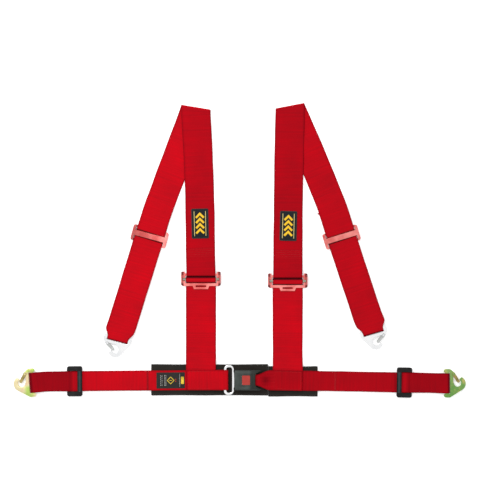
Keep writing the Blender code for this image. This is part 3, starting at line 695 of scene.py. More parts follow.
def drawn_through(rows, fine=0.5, tight=1.2, loose=8.0, apart=4.5):
    """Straight runs through the rows, eased where they bend: a little round bars, more elsewhere.

    Samples are half a millimetre apart at first, then spread out where the strap lies straight.
    Returns centres, half-width vectors, distances and lengths along the webbing.
    """
    table = np.array([[*centre, *half, s] for centre, half, s in rows])
    run = np.concatenate([[0.0], np.cumsum(np.linalg.norm(np.diff(table[:, :3], axis=0), axis=1))])
    at = np.linspace(0.0, run[-1], int(run[-1] / fine) + 1)
    dense = np.stack([np.interp(at, run, column) for column in table.T], 1)
    near, far = blurred(dense, tight), blurred(dense, loose)
    heading = np.gradient(dense[:, :3], axis=0)
    heading /= np.linalg.norm(heading, axis=1, keepdims=True)
    bend = np.linalg.norm(np.diff(heading, axis=0, append=heading[-1:]), axis=1)
    window = np.ones(int(16 / fine))
    turning = np.convolve(bend, window, "same")
    straight = blurred((turning[:, None] < 0.45).astype(float), 8.0).clip(0, 1)
    eased_rows = near * (1 - straight) + far * straight
    eased_rows[0], eased_rows[-1] = dense[0], dense[-1]
    density = 1 / apart + np.clip(blurred(turning[:, None], 4.0)[:, 0], 0, 1.2) * 0.8
    count = np.concatenate([[0.0], np.cumsum((density[1:] + density[:-1]) / 2 * fine)])
    picks = np.interp(np.linspace(0, count[-1], int(count[-1]) + 2), count, np.arange(len(at)))
    final = np.stack([np.interp(picks, np.arange(len(at)), column) for column in eased_rows.T], 1)
    return final[:, :3], final[:, 3:6], final[:, 6], np.interp(picks, np.arange(len(at)), at)


SELVEDGE = ((2.6, 0.84), (1.9, 0.92), (1.0, 0.92), (0.55, 0.80), (0.18, 0.50), (0.0, 0.0))
CREST = 0.84               # half thickness inside the selvedges


def ring_profile(columns):
    """The webbing's cross-section, once round: (share of the inner width, inset from the edge, height).

    The upper face runs from the right selvedge to the left one, over columns equal steps, and the lower
    face runs back. The selvedges are a little thicker than the body and round at the edge.
    """
    inner = [(share, None, CREST) for share in np.linspace(-1, 1, columns + 1)[1:-1]]
    right = [(-1.0, a, h) for a, h in SELVEDGE]
    left = [(1.0, a, h) for a, h in SELVEDGE]
    upper = right[::-1] + inner + left
    lower = [(share, a, -h) for share, a, h in upper[::-1]][1:-1]
    return upper + lower


def strap(name, rows, body, columns=16, wander=0.35, seed=0.0, lift=None, shade=None):
    """Webbing: the cross-section carried along the path, each point at
    centre + across x (half width + a slow wander) + normal x height, plus its own lift off the surface."""
    centres, halves, reach, run = drawn_through(rows)
    width = np.linalg.norm(halves, axis=1)
    across = halves / width[:, None]
    ahead = np.gradient(centres, axis=0)
    normal = np.cross(ahead, across)
    normal /= np.linalg.norm(normal, axis=1, keepdims=True)
    width = width + wander * (np.sin(run / 37.0 + seed) * 0.6 + np.sin(run / 14.3 + 2 * seed) * 0.4)
    profile = ring_profile(columns)
    share = np.array([p[0] for p in profile])
    edge_in = np.array([np.nan if p[1] is None else p[1] for p in profile])
    height = np.array([p[2] for p in profile])
    inner = width[:, None] - SELVEDGE[0][0]
    place_across = np.where(np.isnan(edge_in), share * inner,
                            np.sign(share) * (width[:, None] - np.nan_to_num(edge_in)))
    points = (centres[:, None] + across[:, None] * place_across[..., None]
              + normal[:, None] * height[None, :, None])
    if lift:
        points[..., 2] += lift(reach[:, None], place_across)
    count = len(profile)
    faces = [face[::-1] for face in grid_faces(len(centres), count, True)]
    last = (len(centres) - 1) * count
    half = (count - 2) // 2
    for start, turn in ((0, 1), (last, -1)):
        for k in range(half):
            lower_near, lower_far = (count - k) % count, count - k - 1
            quad = list(dict.fromkeys([start + k, start + k + 1, start + lower_far, start + lower_near]))
            faces.append(quad[::-1] if turn < 0 else quad)
    made = piece(name, points.reshape(-1, 3), faces, WEBBING, None)
    along = np.broadcast_to(run[:, None], place_across.shape)
    corner_values(made, np.stack([along, place_across], -1).reshape(-1, 2))
    from_edge = width[:, None] - abs(place_across)
    point_values(made, "selvedge", 1 - soft_step(from_edge, 1.0, 3.4))
    dark = shade(reach[:, None], place_across) + 0 * place_across
    point_values(made, "shade", np.clip(dark, 0, 1))
    if body:
        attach(made, body)
    return made, float(run[-1])


def hook_line(side, key):
    """The line through a snap hook's bar that its webbing and its frame follow."""
    x, y, heading = SIDES[side][key]
    if key == "tail_hook":
        heading = -90.0 + side * heading
    return Line((x, y), heading)


def hook_loop(line, wide, middle, narrow):
    """Rows of the webbing round a snap hook's bar, narrowing to pass its slot."""
    path = [(-18.0, 9.6, wide), (-7.0, HOOK_Z + HOOK_LOOP - 0.4, middle)]
    path += [(s, z, narrow) for s, z in arc((0.0, HOOK_Z), HOOK_LOOP, 90, -90, 12)]
    path += [(-9.0, FLOOR_Z + 0.1, narrow), (-20.0, 2.0, wide)]
    return line.rows(path)


GATHER_START, GATHER_END, GATHER_HALF = 8.0, 34.0, 14.0
LAP_TURN = 478.0           # along a lap strap, just before it turns round its hook's bar

# Painted shade in bands across a lap strap, beside its slider: distance past the slider's middle, spread,
# depth
SLIDER_SHADE_BANDS = ((-7.0, 1.2, 0.3), (-22.0, 5.0, 0.2), (11.0, 2.2, 0.2), (33.0, 1.5, 0.2))


def gathered(s):
    """Half width of the right lap strap, drawn together to pass the buckle's slot."""
    share = held((s - GATHER_START) / (GATHER_END - GATHER_START))
    return GATHER_HALF + (LAP_HALF - GATHER_HALF) * share


def lap_half(side, s):
    """Half width of a lap strap, which fills its slider's opening."""
    filled = 0.7 * math.exp(-(((s - SIDES[side]["lap_slider"]) / 18.0) ** 2))
    return (gathered(s) if side > 0 else LAP_HALF) + filled


def gather_folds(reach, across):
    """Four soft lengthwise folds where the right lap strap is drawn together, gone at the seam."""
    strength = soft_step(reach, 14.0, 22.0) * (1 - soft_step(reach, 30.0, 62.0))
    return 0.55 * strength * (1 + np.cos(across * TURN / 9.0))


def lap_shade(side):
    """Painted shade on the lap webbing: darker past the slider; lighter as a painted highlight where it rises
    out of the slider; painted shade in bands beside the slider, at the free layer's end, in the right strap's
    gathers and where it turns round the hook's bar.
    """
    slider, free = SIDES[side]["lap_slider"], SIDES[side]["lap_free"]
    inside, outside = (0.0, 0.52) if side < 0 else (0.31, 0.46)

    def shade(reach, across):
        dark = inside + (outside - inside) * soft_step(reach, slider - 14.0, slider - 6.0)
        beyond = reach - slider
        # a painted highlight where the strap rises out of the slider
        dark = dark - 0.26 * soft_step(beyond, -8.0, -6.0) * (1 - soft_step(beyond, 6.0, 9.0))
        for spot, spread, depth in SLIDER_SHADE_BANDS:
            dark = dark + depth * np.exp(-((beyond - spot) / spread) ** 2)
        # painted shade at the free layer's end
        dark = dark + (0.4 if side < 0 else 0.12) * np.exp(-((reach - free + 2.3) / 2.2) ** 2)
        # painted shade in the right strap's gathers
        if side > 0:
            dark = dark + 0.42 * np.exp(-((reach - 27.0) / 11.0) ** 2 - (across / 12.0) ** 2)
        # painted shade where it turns down round the hook's bar
        return dark + (0.85 - outside) * soft_step(reach, LAP_TURN + 1.5, LAP_TURN + 4.5)
    return shade


def lap_strap(side):
    """One length of webbing: sewn return, loop round the tongue's or buckle's bar, main layer, loop round
    the hook's bar and free layer."""
    data = SIDES[side]
    line = Line(data["lap_origin"], data["lap_heading"])
    hook_end = hook_line(side, "lap_hook")
    far = line.reach(hook_end.origin)
    path = [(data["return_end"], RETURN_Z), (34.0, RETURN_Z), (22.0, RETURN_Z + 1.6), (8.0, 15.6)]
    slack = 2.4 if side < 0 else 0.0
    path += arc((-slack, BAR_Z), BAR_LOOP, 90, 270, 12)
    path += [(8.0, OVER_PAD_Z), (34.0, OVER_PAD_Z), (data["pad_end"] + 4.0, OVER_PAD_Z)]
    slider = data["lap_slider"]
    near_slider = [slider + step for step in (-40.0, -20.0, -10.0, 0.0, 10.0, 20.0, 40.0)]
    path += [(data["pad_end"] + 16.0, MAIN_Z), *((s, MAIN_Z) for s in near_slider), (far - 36.0, MAIN_Z)]
    rows = line.rows(path, lambda s: lap_half(side, s))
    hook_rows = hook_loop(hook_end, LAP_HALF, LAP_HALF, LAP_HALF)
    rows += [(centre, half, line.reach(centre)) for centre, half, _ in hook_rows]
    back = (far - 36.0, *near_slider[::-1], data["lap_free"])
    rows += line.rows([(s, FREE_Z) for s in back], lambda s: lap_half(side, s))
    name = data["name"]
    columns, folds = (32, gather_folds) if side > 0 else (16, None)
    made, length = strap(name + "_lap_webbing", rows, name + "_lap", columns, wander=0.25, seed=side,
                         lift=folds, shade=lap_shade(side))
    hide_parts(name + "_lap_strap")


def lower_strap(side):
    """Belt to adjuster, up through the frame, round the lock bar and back under: one length of webbing."""
    data = SIDES[side]
    line = Line((data["lower_x"], data["lock_y"]), 90.0)
    pad_edge = data["pad"][1][1] - data["lock_y"]
    sewn_end = BELT_Y - 23.0 - data["lock_y"]
    turn, centre = LOCK_R + GAP + WEB / 2, LOCK_TRAVEL / 2
    path = [(sewn_end, SEWN_Z), (BELT_Y + 28.0 - data["lock_y"], SEWN_Z), (pad_edge + 2.0, OVER_PAD_Z)]
    path += [(pad_edge + 22.0, FLOOR_Z), (-96.0, FLOOR_Z), (-84.0, UNDER_FRAME_Z), (-11.0, UNDER_FRAME_Z)]
    path += [(-centre - turn, FRAME_LOW + 0.8)]
    path += arc((-centre, LOCK_Z), turn, 180, 90, 6) + arc((centre, LOCK_Z), turn, 90, 15, 5)
    path += [(centre + turn + 0.3, 6.0), (centre + turn + 1.3, 2.2), (centre + turn - 1.0, FLOOR_Z)]
    path += [(-40.0, FLOOR_Z), (-78.0, FLOOR_Z)]
    start, end = BELT_Y + 80.0 - data["lock_y"], -100.0
    name = data["name"]

    # Painted shade: a little over the whole strap, more where it wraps down past the lock bar facing the top
    # bar's loop, under the frame's lip and under its tab.
    def shade(reach, across):
        under_lip = soft_step(-reach, 4.6, 5.6) * (1 - soft_step(-reach, 9.0, 12.0))
        under_tab = soft_step(-reach, 12.0, 14.0) * (1 - soft_step(-reach, 21.0, 23.0)) * (abs(across) < 16.0)
        return 0.04 + 0.95 * soft_step(reach, 2.6, 4.4) + 0.8 * under_lip + 0.35 * under_tab

    made, length = strap(name + "_lower_webbing", line.rows(path, LOWER_HALF), None, seed=2.0 * side,
                         lift=waves(start, end, 1.3, 1.0, 37.0 * side), shade=shade)
    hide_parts(name + "_lower_strap", name + "_lower_strap_end", name + "_lock_wrap")
    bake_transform(made)


def waves(start, end, height, count, skew):
    """Low humps between two distances: height x (1 - cos) / 2, a quarter lower or higher across the strap as
    a sine of across over skew."""
    def lifted(reach, across):
        share = np.clip((reach - start) / (end - start), 0.0, 1.0)
        hump = (1 - np.cos(TURN * count * share)) / 2
        return height * hump * (0.75 + 0.25 * np.sin(across / skew))
    return lifted


def tail_points(side, s):
    """The tail's centre line and its direction across: it bends from its first lean to its second over a
    short way before the slider. Worked out by adding up short straight steps."""
    data = SIDES[side]
    before, after = data["tail_lean"]
    steps = max(round(s / 5.0), 1)
    middle = (np.arange(steps) + 0.5) * s / steps
    lean = np.radians(before + (after - before) * np.clip((middle - 250.0) / 50.0, 0.0, 1.0))
    ahead = np.stack([side * np.sin(lean), -np.cos(lean), 0 * lean], 1)
    point = np.array([*data["fold"], 0.0]) + ahead.sum(0) * s / steps
    return point, np.array([math.cos(lean[-1]), side * math.sin(lean[-1]), 0.0])


def bowed(share, depth):
    """How far a strap lies to the side of its straight line: a half sine wave."""
    return depth * math.sin(math.pi * held(share))


def tail_row(side, s, z):
    """A row of the tail, at this distance from the fold."""
    point, out = tail_points(side, s)
    point = point + out * bowed((s - 20.0) / (SIDES[side]["slider_at"] - 20.0), side * SIDES[side]["bow"][1])
    return point + np.array([0.0, 0.0, z]), out * UPPER_HALF, TAIL_REACH + s


def front_line(side):
    """The front of an upper strap, from the adjuster's top bar up to the fold: the bar's place, the way to
    the fold, its length, and its outward lean from straight up."""
    data = SIDES[side]
    top_bar = np.array([data["lower_x"], data["lock_y"] + TOP_BAR_P, 0.0])
    front = np.array([*data["fold"], 0.0]) - top_bar
    return top_bar, front, np.linalg.norm(front), math.atan2(side * front[0], front[1])


def front_row(side, s, z):
    """A row of the front, at this distance from the top bar. It turns to the front's lean over 60 mm."""
    top_bar, front, long, outward = front_line(side)
    lean = outward * held(s / 60.0)
    out = np.array([math.cos(lean), -side * math.sin(lean), 0.0])
    point = top_bar + front * (s / long) + out * bowed((s - 40.0) / (long - 50.0), SIDES[side]["bow"][0])
    return point + np.array([0.0, 0.0, z]), out * UPPER_HALF, s


def upper_strap(side):
    """One length of webbing: adjuster loop, front, fold, tail, hook loop and free layer."""
    data = SIDES[side]
    fold = np.array([*data["fold"], 0.0])
    _, _, long, outward = front_line(side)
    path = [(60.0, 1.1), (6.0, 1.1)] + arc((0.0, TOP_BAR_Z), TOP_BAR_LOOP, 270, 90, 10)
    path += [(18.0, 8.6), (34.0, 4.4), (44.0, 3.2), (66.0, 3.2), (80.0, FLOOR_Z)]
    path += [(150.0, FLOOR_Z), (200.0, FLOOR_Z), (225.0, 3.1), (265.0, 3.1), (310.0, 3.1), (360.0, 3.3)]
    path += [(long - 40.0, 3.5), (long - 16.0, 3.7)]
    rows = [front_row(side, s, z) for s, z in path]

    tail_lean = math.radians(data["tail_lean"][0])
    tilt = (tail_lean - outward) / 2
    crease = np.array([math.cos(tilt), side * math.sin(tilt), 0.0]) * UPPER_HALF / math.cos(tail_lean - tilt)
    ahead = np.array([-side * math.sin(tilt), math.cos(tilt), 0.0])
    bend, middle = 1.6, 2.5
    for r, z in arc((0.0, middle), bend, 90, -90, 8):
        rows.append((fold + ahead * r + np.array([0.0, 0.0, z]), crease, TAIL_REACH))

    slider, far = data["slider_at"], data["tail_length"]
    rows += [tail_row(side, s, FLOOR_Z) for s in (16.0, 50.0, 90.0, 125.0, 160.0, 195.0, slider - 116.0)]
    main = (slider - 84.0, slider - 60.0, slider - 40.0, slider, slider + 100.0, far - 38.0)
    rows += [tail_row(side, s, MAIN_Z) for s in main]
    loop = hook_loop(hook_line(side, "tail_hook"), UPPER_HALF, TAPER_HALF + 0.7, TAPER_HALF)
    rows += [(centre, half, TAIL_REACH + far + s) for centre, half, s in loop]
    free = [(far - 38.0, 0.0), (slider + 100.0, 0.0), (slider, 0.0), (slider - 24.0, 0.2)]
    free += [(slider - 60.0, 0.2), (slider - 72.0, 0.4), (slider - 74.0, 4.0), (slider - 76.0, 4.6)]
    for s, stray in free:
        centre, half, reach = tail_row(side, s, FREE_Z)
        rows.append((centre - (stray if side > 0 else 0.0) * half / UPPER_HALF, half, reach))

    upper_waves = waves(TAIL_REACH + 60.0, TAIL_REACH + slider - 118.0, 1.6, 2.0, 31.0 * side)
    lower_waves = waves(TAIL_REACH + slider + 92.0, TAIL_REACH + far - 45.0, 1.4, 1.0, -29.0 * side)

    def lift(reach, across):
        return upper_waves(reach, across) + lower_waves(reach, across)

    name = data["name"]
    # Painted shade: the front darker than the tail, more on the loop round the adjuster's top bar where it
    # faces the lock bar, and where it turns round its hook's bar.
    front_dark, tail_dark = (0.28, 0.02) if side < 0 else (0.33, 0.17)

    def shade(reach, across):
        dark = front_dark + (tail_dark - front_dark) * soft_step(reach, TAIL_REACH - 100.0, TAIL_REACH)
        dark = dark + 0.85 * (1 - soft_step(reach, -3.0, -1.4))
        return dark + 0.75 * soft_step(reach, TAIL_REACH + far + 1.5, TAIL_REACH + far + 4.5)

    made, length = strap(name + "_shoulder_webbing", rows, name + "_lap", seed=4.0 * side, lift=lift,
                         shade=shade)
    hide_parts(name + "_shoulder_strap")


# ---- stitching ---------------------------------------------------------------------------------


def stitch_form(length, width, height):
    """One stitch as a small bead: width and height shrink to nothing at its two ends as the square root of
    one minus the fourth power of the share of its length."""
    share = np.array([-0.94, -0.6, 0.0, 0.6, 0.94])
    girth = (1 - share**4) ** 0.5
    turns = np.arange(6) * TURN / 6
    body = np.stack(
        [np.repeat(share * length / 2, 6), np.outer(girth, np.cos(turns)).ravel() * width / 2,
         np.outer(girth, np.sin(turns)).ravel() * height], 1)
    points = np.concatenate([[[-length / 2, 0, 0]], body, [[length / 2, 0, 0]]])
    faces = [face[::-1] for face in grid_faces(5, 6, True, 1)]
    faces += [[0, 1 + (k + 1) % 6, 1 + k] for k in range(6)]
    faces += [[31, 25 + k, 25 + (k + 1) % 6] for k in range(6)]
    return points, faces


def sewn(name, seat, runs, body, finish, pitch=3.4, length=2.6, width=0.75, height=0.3):
    """Rows of stitches in a seat's own plane, along straight runs from (u, v) to (u, v)."""
    form, form_faces = stitch_form(length, width, height)
    spots, ways = [], []
    for start, end in runs:
        start, end = np.array(start, float), np.array(end, float)
        long = np.linalg.norm(end - start)
        count = max(int(long / pitch), 1)
        share = (np.arange(count) + 0.5) / count
        spots.append(start + (end - start) * share[:, None])
        ways.append(np.repeat((end - start)[None] / long, count, 0))
    spots, ways = np.concatenate(spots), np.concatenate(ways)
    u = ways[:, None, 0] * form[None, :, 0] - ways[:, None, 1] * form[None, :, 1]
    v = ways[:, None, 1] * form[None, :, 0] + ways[:, None, 0] * form[None, :, 1]
    local = np.stack([spots[:, None, 0] + u, spots[:, None, 1] + v, np.broadcast_to(form[:, 2], u.shape)], -1)
    offsets = np.arange(len(spots)) * len(form)
    faces = [[corner + int(first) for corner in face] for first in offsets for face in form_faces]
    return piece(name, seat.points(local.reshape(-1, 3)), faces, finish, body)


def box_runs(low, high, cross=True):
    """A sewn rectangle, with a cross from corner to corner."""
    (a, b), (c, d) = low, high
    runs = [((a, b), (c, b)), ((c, b), (c, d)), ((c, d), (a, d)), ((a, d), (a, b))]
    return runs + ([((a, b), (c, d)), ((a, d), (c, b))] if cross else [])


def seams(side):
    """The thread at the belt seam, at the end of the lap strap's free layer and above the adjuster."""
    data = SIDES[side]
    name = data["name"]
    lap = Seat((*data["lap_origin"], 0.0), data["lap_heading"])
    top = Seat((*data["lap_origin"], RETURN_Z + CREST), data["lap_heading"])
    lower_at = abs(data["lower_x"] - data["lap_origin"][0])
    low = (max(lower_at - LOWER_HALF + 3.0, 18.0), -LAP_HALF + 3.5)
    high = (lower_at + LOWER_HALF - 4.0, LAP_HALF - 3.5)
    high = (min(high[0], data["return_end"] - 3.0), high[1])
    sewn(name + "_belt_seam", top, box_runs(low, high, False), name + "_lap", THREAD)

    for number, back in enumerate((1.0, 3.6), 1):
        s = data["lap_free"] - back
        fall = held((s - data["pad_end"] - 4.0) / 12.0)
        height = OVER_PAD_Z + (MAIN_Z - OVER_PAD_Z) * fall + CREST + 0.1
        across = Seat(lap.at + np.array([0.0, 0.0, height]), data["lap_heading"])
        run = [((s, -LAP_HALF + 2.0), (s, LAP_HALF - 2.0))]
        sewn(f"{name}_free_end_seam_{number}", across, run, name + "_lap",
             DARK_THREAD if side < 0 else THREAD, 2.6, 2.4, 1.0)

    centre, out, _ = front_row(side, 55.0, 3.2 + CREST)
    lean = math.degrees(math.atan2(out[1], out[0]))
    above = Seat(centre, lean)
    rows = [((-31.0, v), (31.0, v)) for v in (-9.0, -4.5, 0.0, 4.5, 9.0)]
    sewn(name + "_loop_seam", above, rows, name + "_lap", THREAD)


# ---- pads, patches and label -------------------------------------------------------------------


def pad_fall(inside):
    """How far a pad's top falls towards its edges, by the distance inside them."""
    return 1.5 * (1 - soft_step(inside, 3.0, 18.0))


def pad(side):
    """A thin foam pad in a cloth cover. Over a grid, the top is 6 mm less a soft fall to the edges, slow
    dimples and a sewn groove, plus a raised binding, all rounded off at the rim as a quarter circle; the long
    sides draw in between the corners."""
    data = SIDES[side]
    (x0, y0), (x1, y1) = data["pad"]
    hx, hy, corner, rim = (x1 - x0) / 2 + 0.2, (y1 - y0) / 2, 1.6, 2.6

    def spaced(half, step):
        near = np.array([0.0, 0.25, 0.6, 1.1, 1.8, 2.6, 3.6, 4.6, 5.4, 6.0, 6.6, 7.6])
        inner = np.linspace(-(half - 10.0), half - 10.0, int(2 * (half - 10.0) / step) + 1)
        return np.concatenate([near - half, inner, half - near[::-1]])

    u, v = np.meshgrid(spaced(hx, 4.0), spaced(hy, 4.0), indexing="ij")
    inside = np.minimum(hx - abs(u), hy - abs(v))
    a = np.clip((abs(u) - (hx - corner)) / corner, 0, 1)
    b = np.clip((abs(v) - (hy - corner)) / corner, 0, 1)
    both = (a > 0) & (b > 0)
    squeeze = np.where(both, np.maximum(a, b) / np.maximum(np.hypot(a, b), 1e-9), 1.0)
    x = np.where(both, np.sign(u) * (hx - corner + corner * a * squeeze), u)
    y = np.where(both, np.sign(v) * (hy - corner + corner * b * squeeze), v)
    y = y * (1 - 0.022 * (1 - (u / hx) ** 2) * (0.6 + 0.4 * np.sin(u / 23.0 + side)))
    round_off = np.sqrt(1 - (1 - np.clip(inside / rim, 0, 1)) ** 2)
    binding = 0.35 * soft_step(inside, 6.2, 5.4)
    dimple = 0.22 * (1 + np.sin(u / 17.0 + 1.3 * side) * np.cos(v / 11.0)) * soft_step(inside, 6.0, 16.0)
    seam = 0.45 * np.exp(-((inside - 5.8) / 0.7) ** 2)
    half = PAD_TOP / 2
    top = half + (half - pad_fall(inside) + binding - dimple - seam) * round_off
    bottom = half - half * round_off
    rows, columns = u.shape
    middle = np.array([(x0 + x1) / 2, (y0 + y1) / 2, 0.0])
    upper = np.stack([x, y, top], -1).reshape(-1, 3) + middle
    lower = np.stack([x, y, bottom], -1).reshape(-1, 3) + middle
    faces = grid_faces(rows, columns)
    faces += [face[::-1] for face in grid_faces(rows, columns, False, rows * columns)]
    name = data["name"]
    points = np.concatenate([upper, lower])
    made = piece(name + "_pad_cushion", points, faces, PAD_CLOTH, name + "_lap")
    weld(made)
    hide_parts(name + "_pad")
    line_in = 4.2
    runs = box_runs((x0 + line_in, y0 + line_in), (x1 - line_in, y1 - line_in), False)
    height = PAD_TOP - pad_fall(line_in) + 0.35
    sewn(name + "_pad_stitching", Seat((0.0, 0.0, float(height))), runs, name + "_lap", BLACK_THREAD,
         4.0, 2.9, 0.8, 0.25)


def band(path, half_width, crest, height, closed=False):
    """A raised band along a flat path: across it the top is crest x (1 - share squared), and the bottom
    falls to 0.3 x crest under the middle. Returns points, faces and the map along and across."""
    path = np.asarray(path, float)
    after, before = np.roll(path, -1, 0), np.roll(path, 1, 0)
    if not closed:
        after[-1], before[0] = 2 * path[-1] - path[-2], 2 * path[0] - path[1]
    ahead_in, ahead_out = path - before, after - path
    ahead_in /= np.linalg.norm(ahead_in, axis=1, keepdims=True)
    ahead_out /= np.linalg.norm(ahead_out, axis=1, keepdims=True)
    left = np.stack([-(ahead_in + ahead_out)[:, 1], (ahead_in + ahead_out)[:, 0]], 1)
    left /= (left**2).sum(1, keepdims=True) / 2
    share = np.linspace(-1, 1, 7)
    top = np.column_stack([share, 1 - share**2])
    ring = np.concatenate([top, [[0.0, -0.3]]])
    flat = path[:, None] + left[:, None] * (ring[None, :, :1] * half_width)
    points = np.concatenate([flat, np.broadcast_to(height + crest * ring[:, 1:], (*flat.shape[:2], 1))], -1)
    count = len(ring)
    rows = len(path) + closed
    run = np.concatenate([[0.0], np.cumsum(np.linalg.norm(np.diff(path, axis=0), axis=1))])
    table = np.stack([np.broadcast_to(run[:, None], (len(path), count)),
                      np.broadcast_to(ring[:, 0] * half_width, (len(path), count))], -1)
    faces = [face[::-1] for face in grid_faces(rows, count, True)]
    if closed:
        faces = [[corner % (len(path) * count) for corner in face] for face in faces]
    else:
        last = (len(path) - 1) * count
        faces += [list(range(count)), list(range(last, last + count))[::-1]]
    return points.reshape(-1, 3), faces, table.reshape(-1, 2)


def bands(name, seat, shapes, finish, body):
    """Several bands as one piece."""
    points, faces, table, first = [], [], [], 0
    for made_points, made_faces, made_table in shapes:
        points.append(seat.points(made_points))
        faces += [[corner + first for corner in face] for face in made_faces]
        table.append(made_table)
        first += len(made_points)
    made = piece(name, np.concatenate(points), faces, finish, body)
    corner_values(made, np.concatenate(table))


def between(start, end, steps):
    """Points from start to end, evenly."""
    return np.linspace(start, end, steps + 1)


def badge(side):
    """The sewn badge on the front of a shoulder strap: twill, an overlocked border, two lines and a row of
    plain chevrons."""
    data = SIDES[side]
    name = data["name"]
    body = name + "_lap"
    seat = Seat((*data["patch"], WEB + GAP), 90.0 - side * 1.4)
    long, wide = 37.0, 21.0
    cloth = rounded((-long + 1, -wide + 1), (long - 1, wide - 1), 1.5)
    points, faces = rounded_plate([cloth], 0.7, 0.3, 0.35, 3)
    made = piece(name + "_badge_cloth", seat.points(points), faces, BADGE_CLOTH, body)
    crisp(made)
    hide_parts(name + "_patch")
    outline = rounded((-long + 0.9, -wide + 0.9), (long - 0.9, wide - 0.9), 1.8)
    border = [band(resampled(outline, 0.5), 1.3, 0.55, 0.55, True)]
    bands(name + "_badge_border", seat, border, BADGE_EDGE, body)
    lines = [band(between((-31.0, v), (31.0, v), 40), 0.85, 0.3, 0.75) for v in (-14.2, 14.2)]
    bands(name + "_badge_lines", seat, lines, PALE_THREAD, body)
    chevrons = []
    for number in range(4):
        tip = -14.5 + 13.0 * number
        upper, lower = (tip - 10.0, 9.8), (tip - 10.0, -9.8)
        path = np.concatenate([between(upper, (tip, 0.0), 12), between((tip, 0.0), lower, 12)[1:]])
        chevrons.append(band(path, 2.9, 0.45, 0.75))
    bands(name + "_badge_chevrons", seat, chevrons, GOLD_THREAD, body)


def resampled(outline, step):
    """Points this far apart round a closed outline."""
    loop = np.asarray(outline + outline[:1], float)
    run = np.concatenate([[0.0], np.cumsum(np.linalg.norm(np.diff(loop, axis=0), axis=1))])
    at = np.arange(0.0, run[-1], run[-1] / round(run[-1] / step))
    return np.stack([np.interp(at, run, column) for column in loop.T], 1)


def label():
    """The sewn label on the left lap strap, with plain marks: rows of dashes, a diamond, a dot, a line and
    a bar."""
    body = "left_lap"
    base = OVER_PAD_Z + WEB / 2 + GAP
    seat = Seat((TONGUE_X, BELT_Y, base), SIDES[-1]["lap_heading"])
    near, far, wide = 100.6, 171.5, 20.0
    points, faces = rounded_plate([rounded((near, -wide), (far, wide), 1.0)], 0.5, 0.2, 0.25, 3)
    made = piece("label_cloth", seat.points(points), faces, LABEL_CLOTH, body)
    crisp(made)
    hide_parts("rating_label")
    top = 0.5
    dashes = []
    for column, (u, count) in enumerate(((161.0, 6), (157.5, 5), (151.0, 7), (148.0, 7))):
        for k in range(count):
            v = -14.0 + 28.0 * (k + 0.5) / count
            half = 1.5 + 0.5 * math.sin(3.1 * k + column)
            dashes.append(band([(u, v - half), (u, v + half)], 0.55, 0.06, top))
    dashes.append(band([(113.5, -16.5), (113.5, 16.5)], 0.45, 0.06, top))
    bands("label_dashes", seat, dashes, WHITE_INK, body)
    middle, reach = 136.0, 8.5
    diamond = [(middle + reach, 0.0), (middle, reach), (middle - reach, 0.0), (middle, -reach)]
    marks = [band(diamond, 0.75, 0.06, top, True)]
    marks.append(band([(middle - 3.2, 0.0), (middle + 3.2, 0.0)], 0.7, 0.06, top))
    marks.append(band([(106.6, -9.0), (106.6, 9.0)], 4.0, 0.07, top))
    bands("label_marks", seat, marks, YELLOW_INK, body)
    dots = [band([(122.3, v), (124.7, v)], 1.2, 0.06, top) for v in (-2.5, 2.5)]
    bands("label_dots", seat, dots, RED_INK, body)
    stitch_seat = Seat((TONGUE_X, BELT_Y, base + top), SIDES[-1]["lap_heading"])
    runs = box_runs((near + 1.6, -wide + 1.6), (far - 1.6, wide - 1.6), False)
    sewn("label_stitching", stitch_seat, runs, body, BLACK_THREAD, 2.6, 1.9, 0.5, 0.22)


# ---- snap hooks --------------------------------------------------------------------------------

HOOK_THICK = 4.0
PIVOT = (16.5, 22.5)
NOSE = (28.0, -1.0)
NOSE_R = 18.5


def hook_outline(side):
    """Ears, a straight flank to the round nose, the beak, the eye and the gate's lug."""
    corner = (8.0, -35.5)
    reach = np.array(NOSE) - np.array(corner)
    flank = math.degrees(math.atan2(reach[1], reach[0]) - math.asin(NOSE_R / np.linalg.norm(reach)))
    back = [(-8.0, 27.3), (-4.5, 27.3), (-4.5, -27.3), (-8.0, -27.3)]
    outline = back + arc((-3.0, -30.5), 5.0, 180, 270, 8) + arc((6.0, -31.5), 4.0, -90, flank - 90, 6)
    outline += arc(NOSE, NOSE_R, flank - 90, 60, 36)
    outline += [(33.6, 13.4)] + arc((26.2, 0.5), 9.0, 62, -170, 36) + [(15.5, 3.0), (15.5, 17.6)]
    outline += arc(PIVOT, 4.6, -62, 48, 14) + arc((6.0, 30.5), 5.0, 48, 90, 6)
    outline += arc((-3.0, 30.5), 5.0, 90, 180, 8)
    return [(u, v * side) for u, v in eased(outline, 1.4, 24.0)]


def snap_hook(side, kind, key, finish):
    """The hook's plate as a rounded plate; its gate copied with eased edges, its rivet copied as it is, its
    spring painted.
    """
    name = f"{SIDES[side]['name']}_{kind}_hook"
    line = hook_line(side, key)
    seat = Seat(line.at(0.0, HOOK_Z), line.heading)
    slot_hole = rounded((4.5, -27.0), (7.25, 27.0), 1.3, 6)
    rivet_hole = arc((PIVOT[0], PIVOT[1] * side), 2.1, 0, 345, 23)
    points, faces = rounded_plate([hook_outline(side), slot_hole, rivet_hole], HOOK_THICK, 0.75)
    made = piece(name + "_rounded", seat.points(points), faces, finish, name)
    crisp(made, 40.0)
    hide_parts(name + "_plate")
    kept_copy(name + "_rivet", 0.0, finish, name)
    gate = GATE if kind == "lap" else GREY_GATE
    kept_copy(name + "_gate", 0.25, gate, name.replace("hook", "gate"), 2)
    paint(name + "_gate_spring", SPRING_AND_SHADOW_RED)


# ---- adjusters, sliders and buckle -------------------------------------------------------------


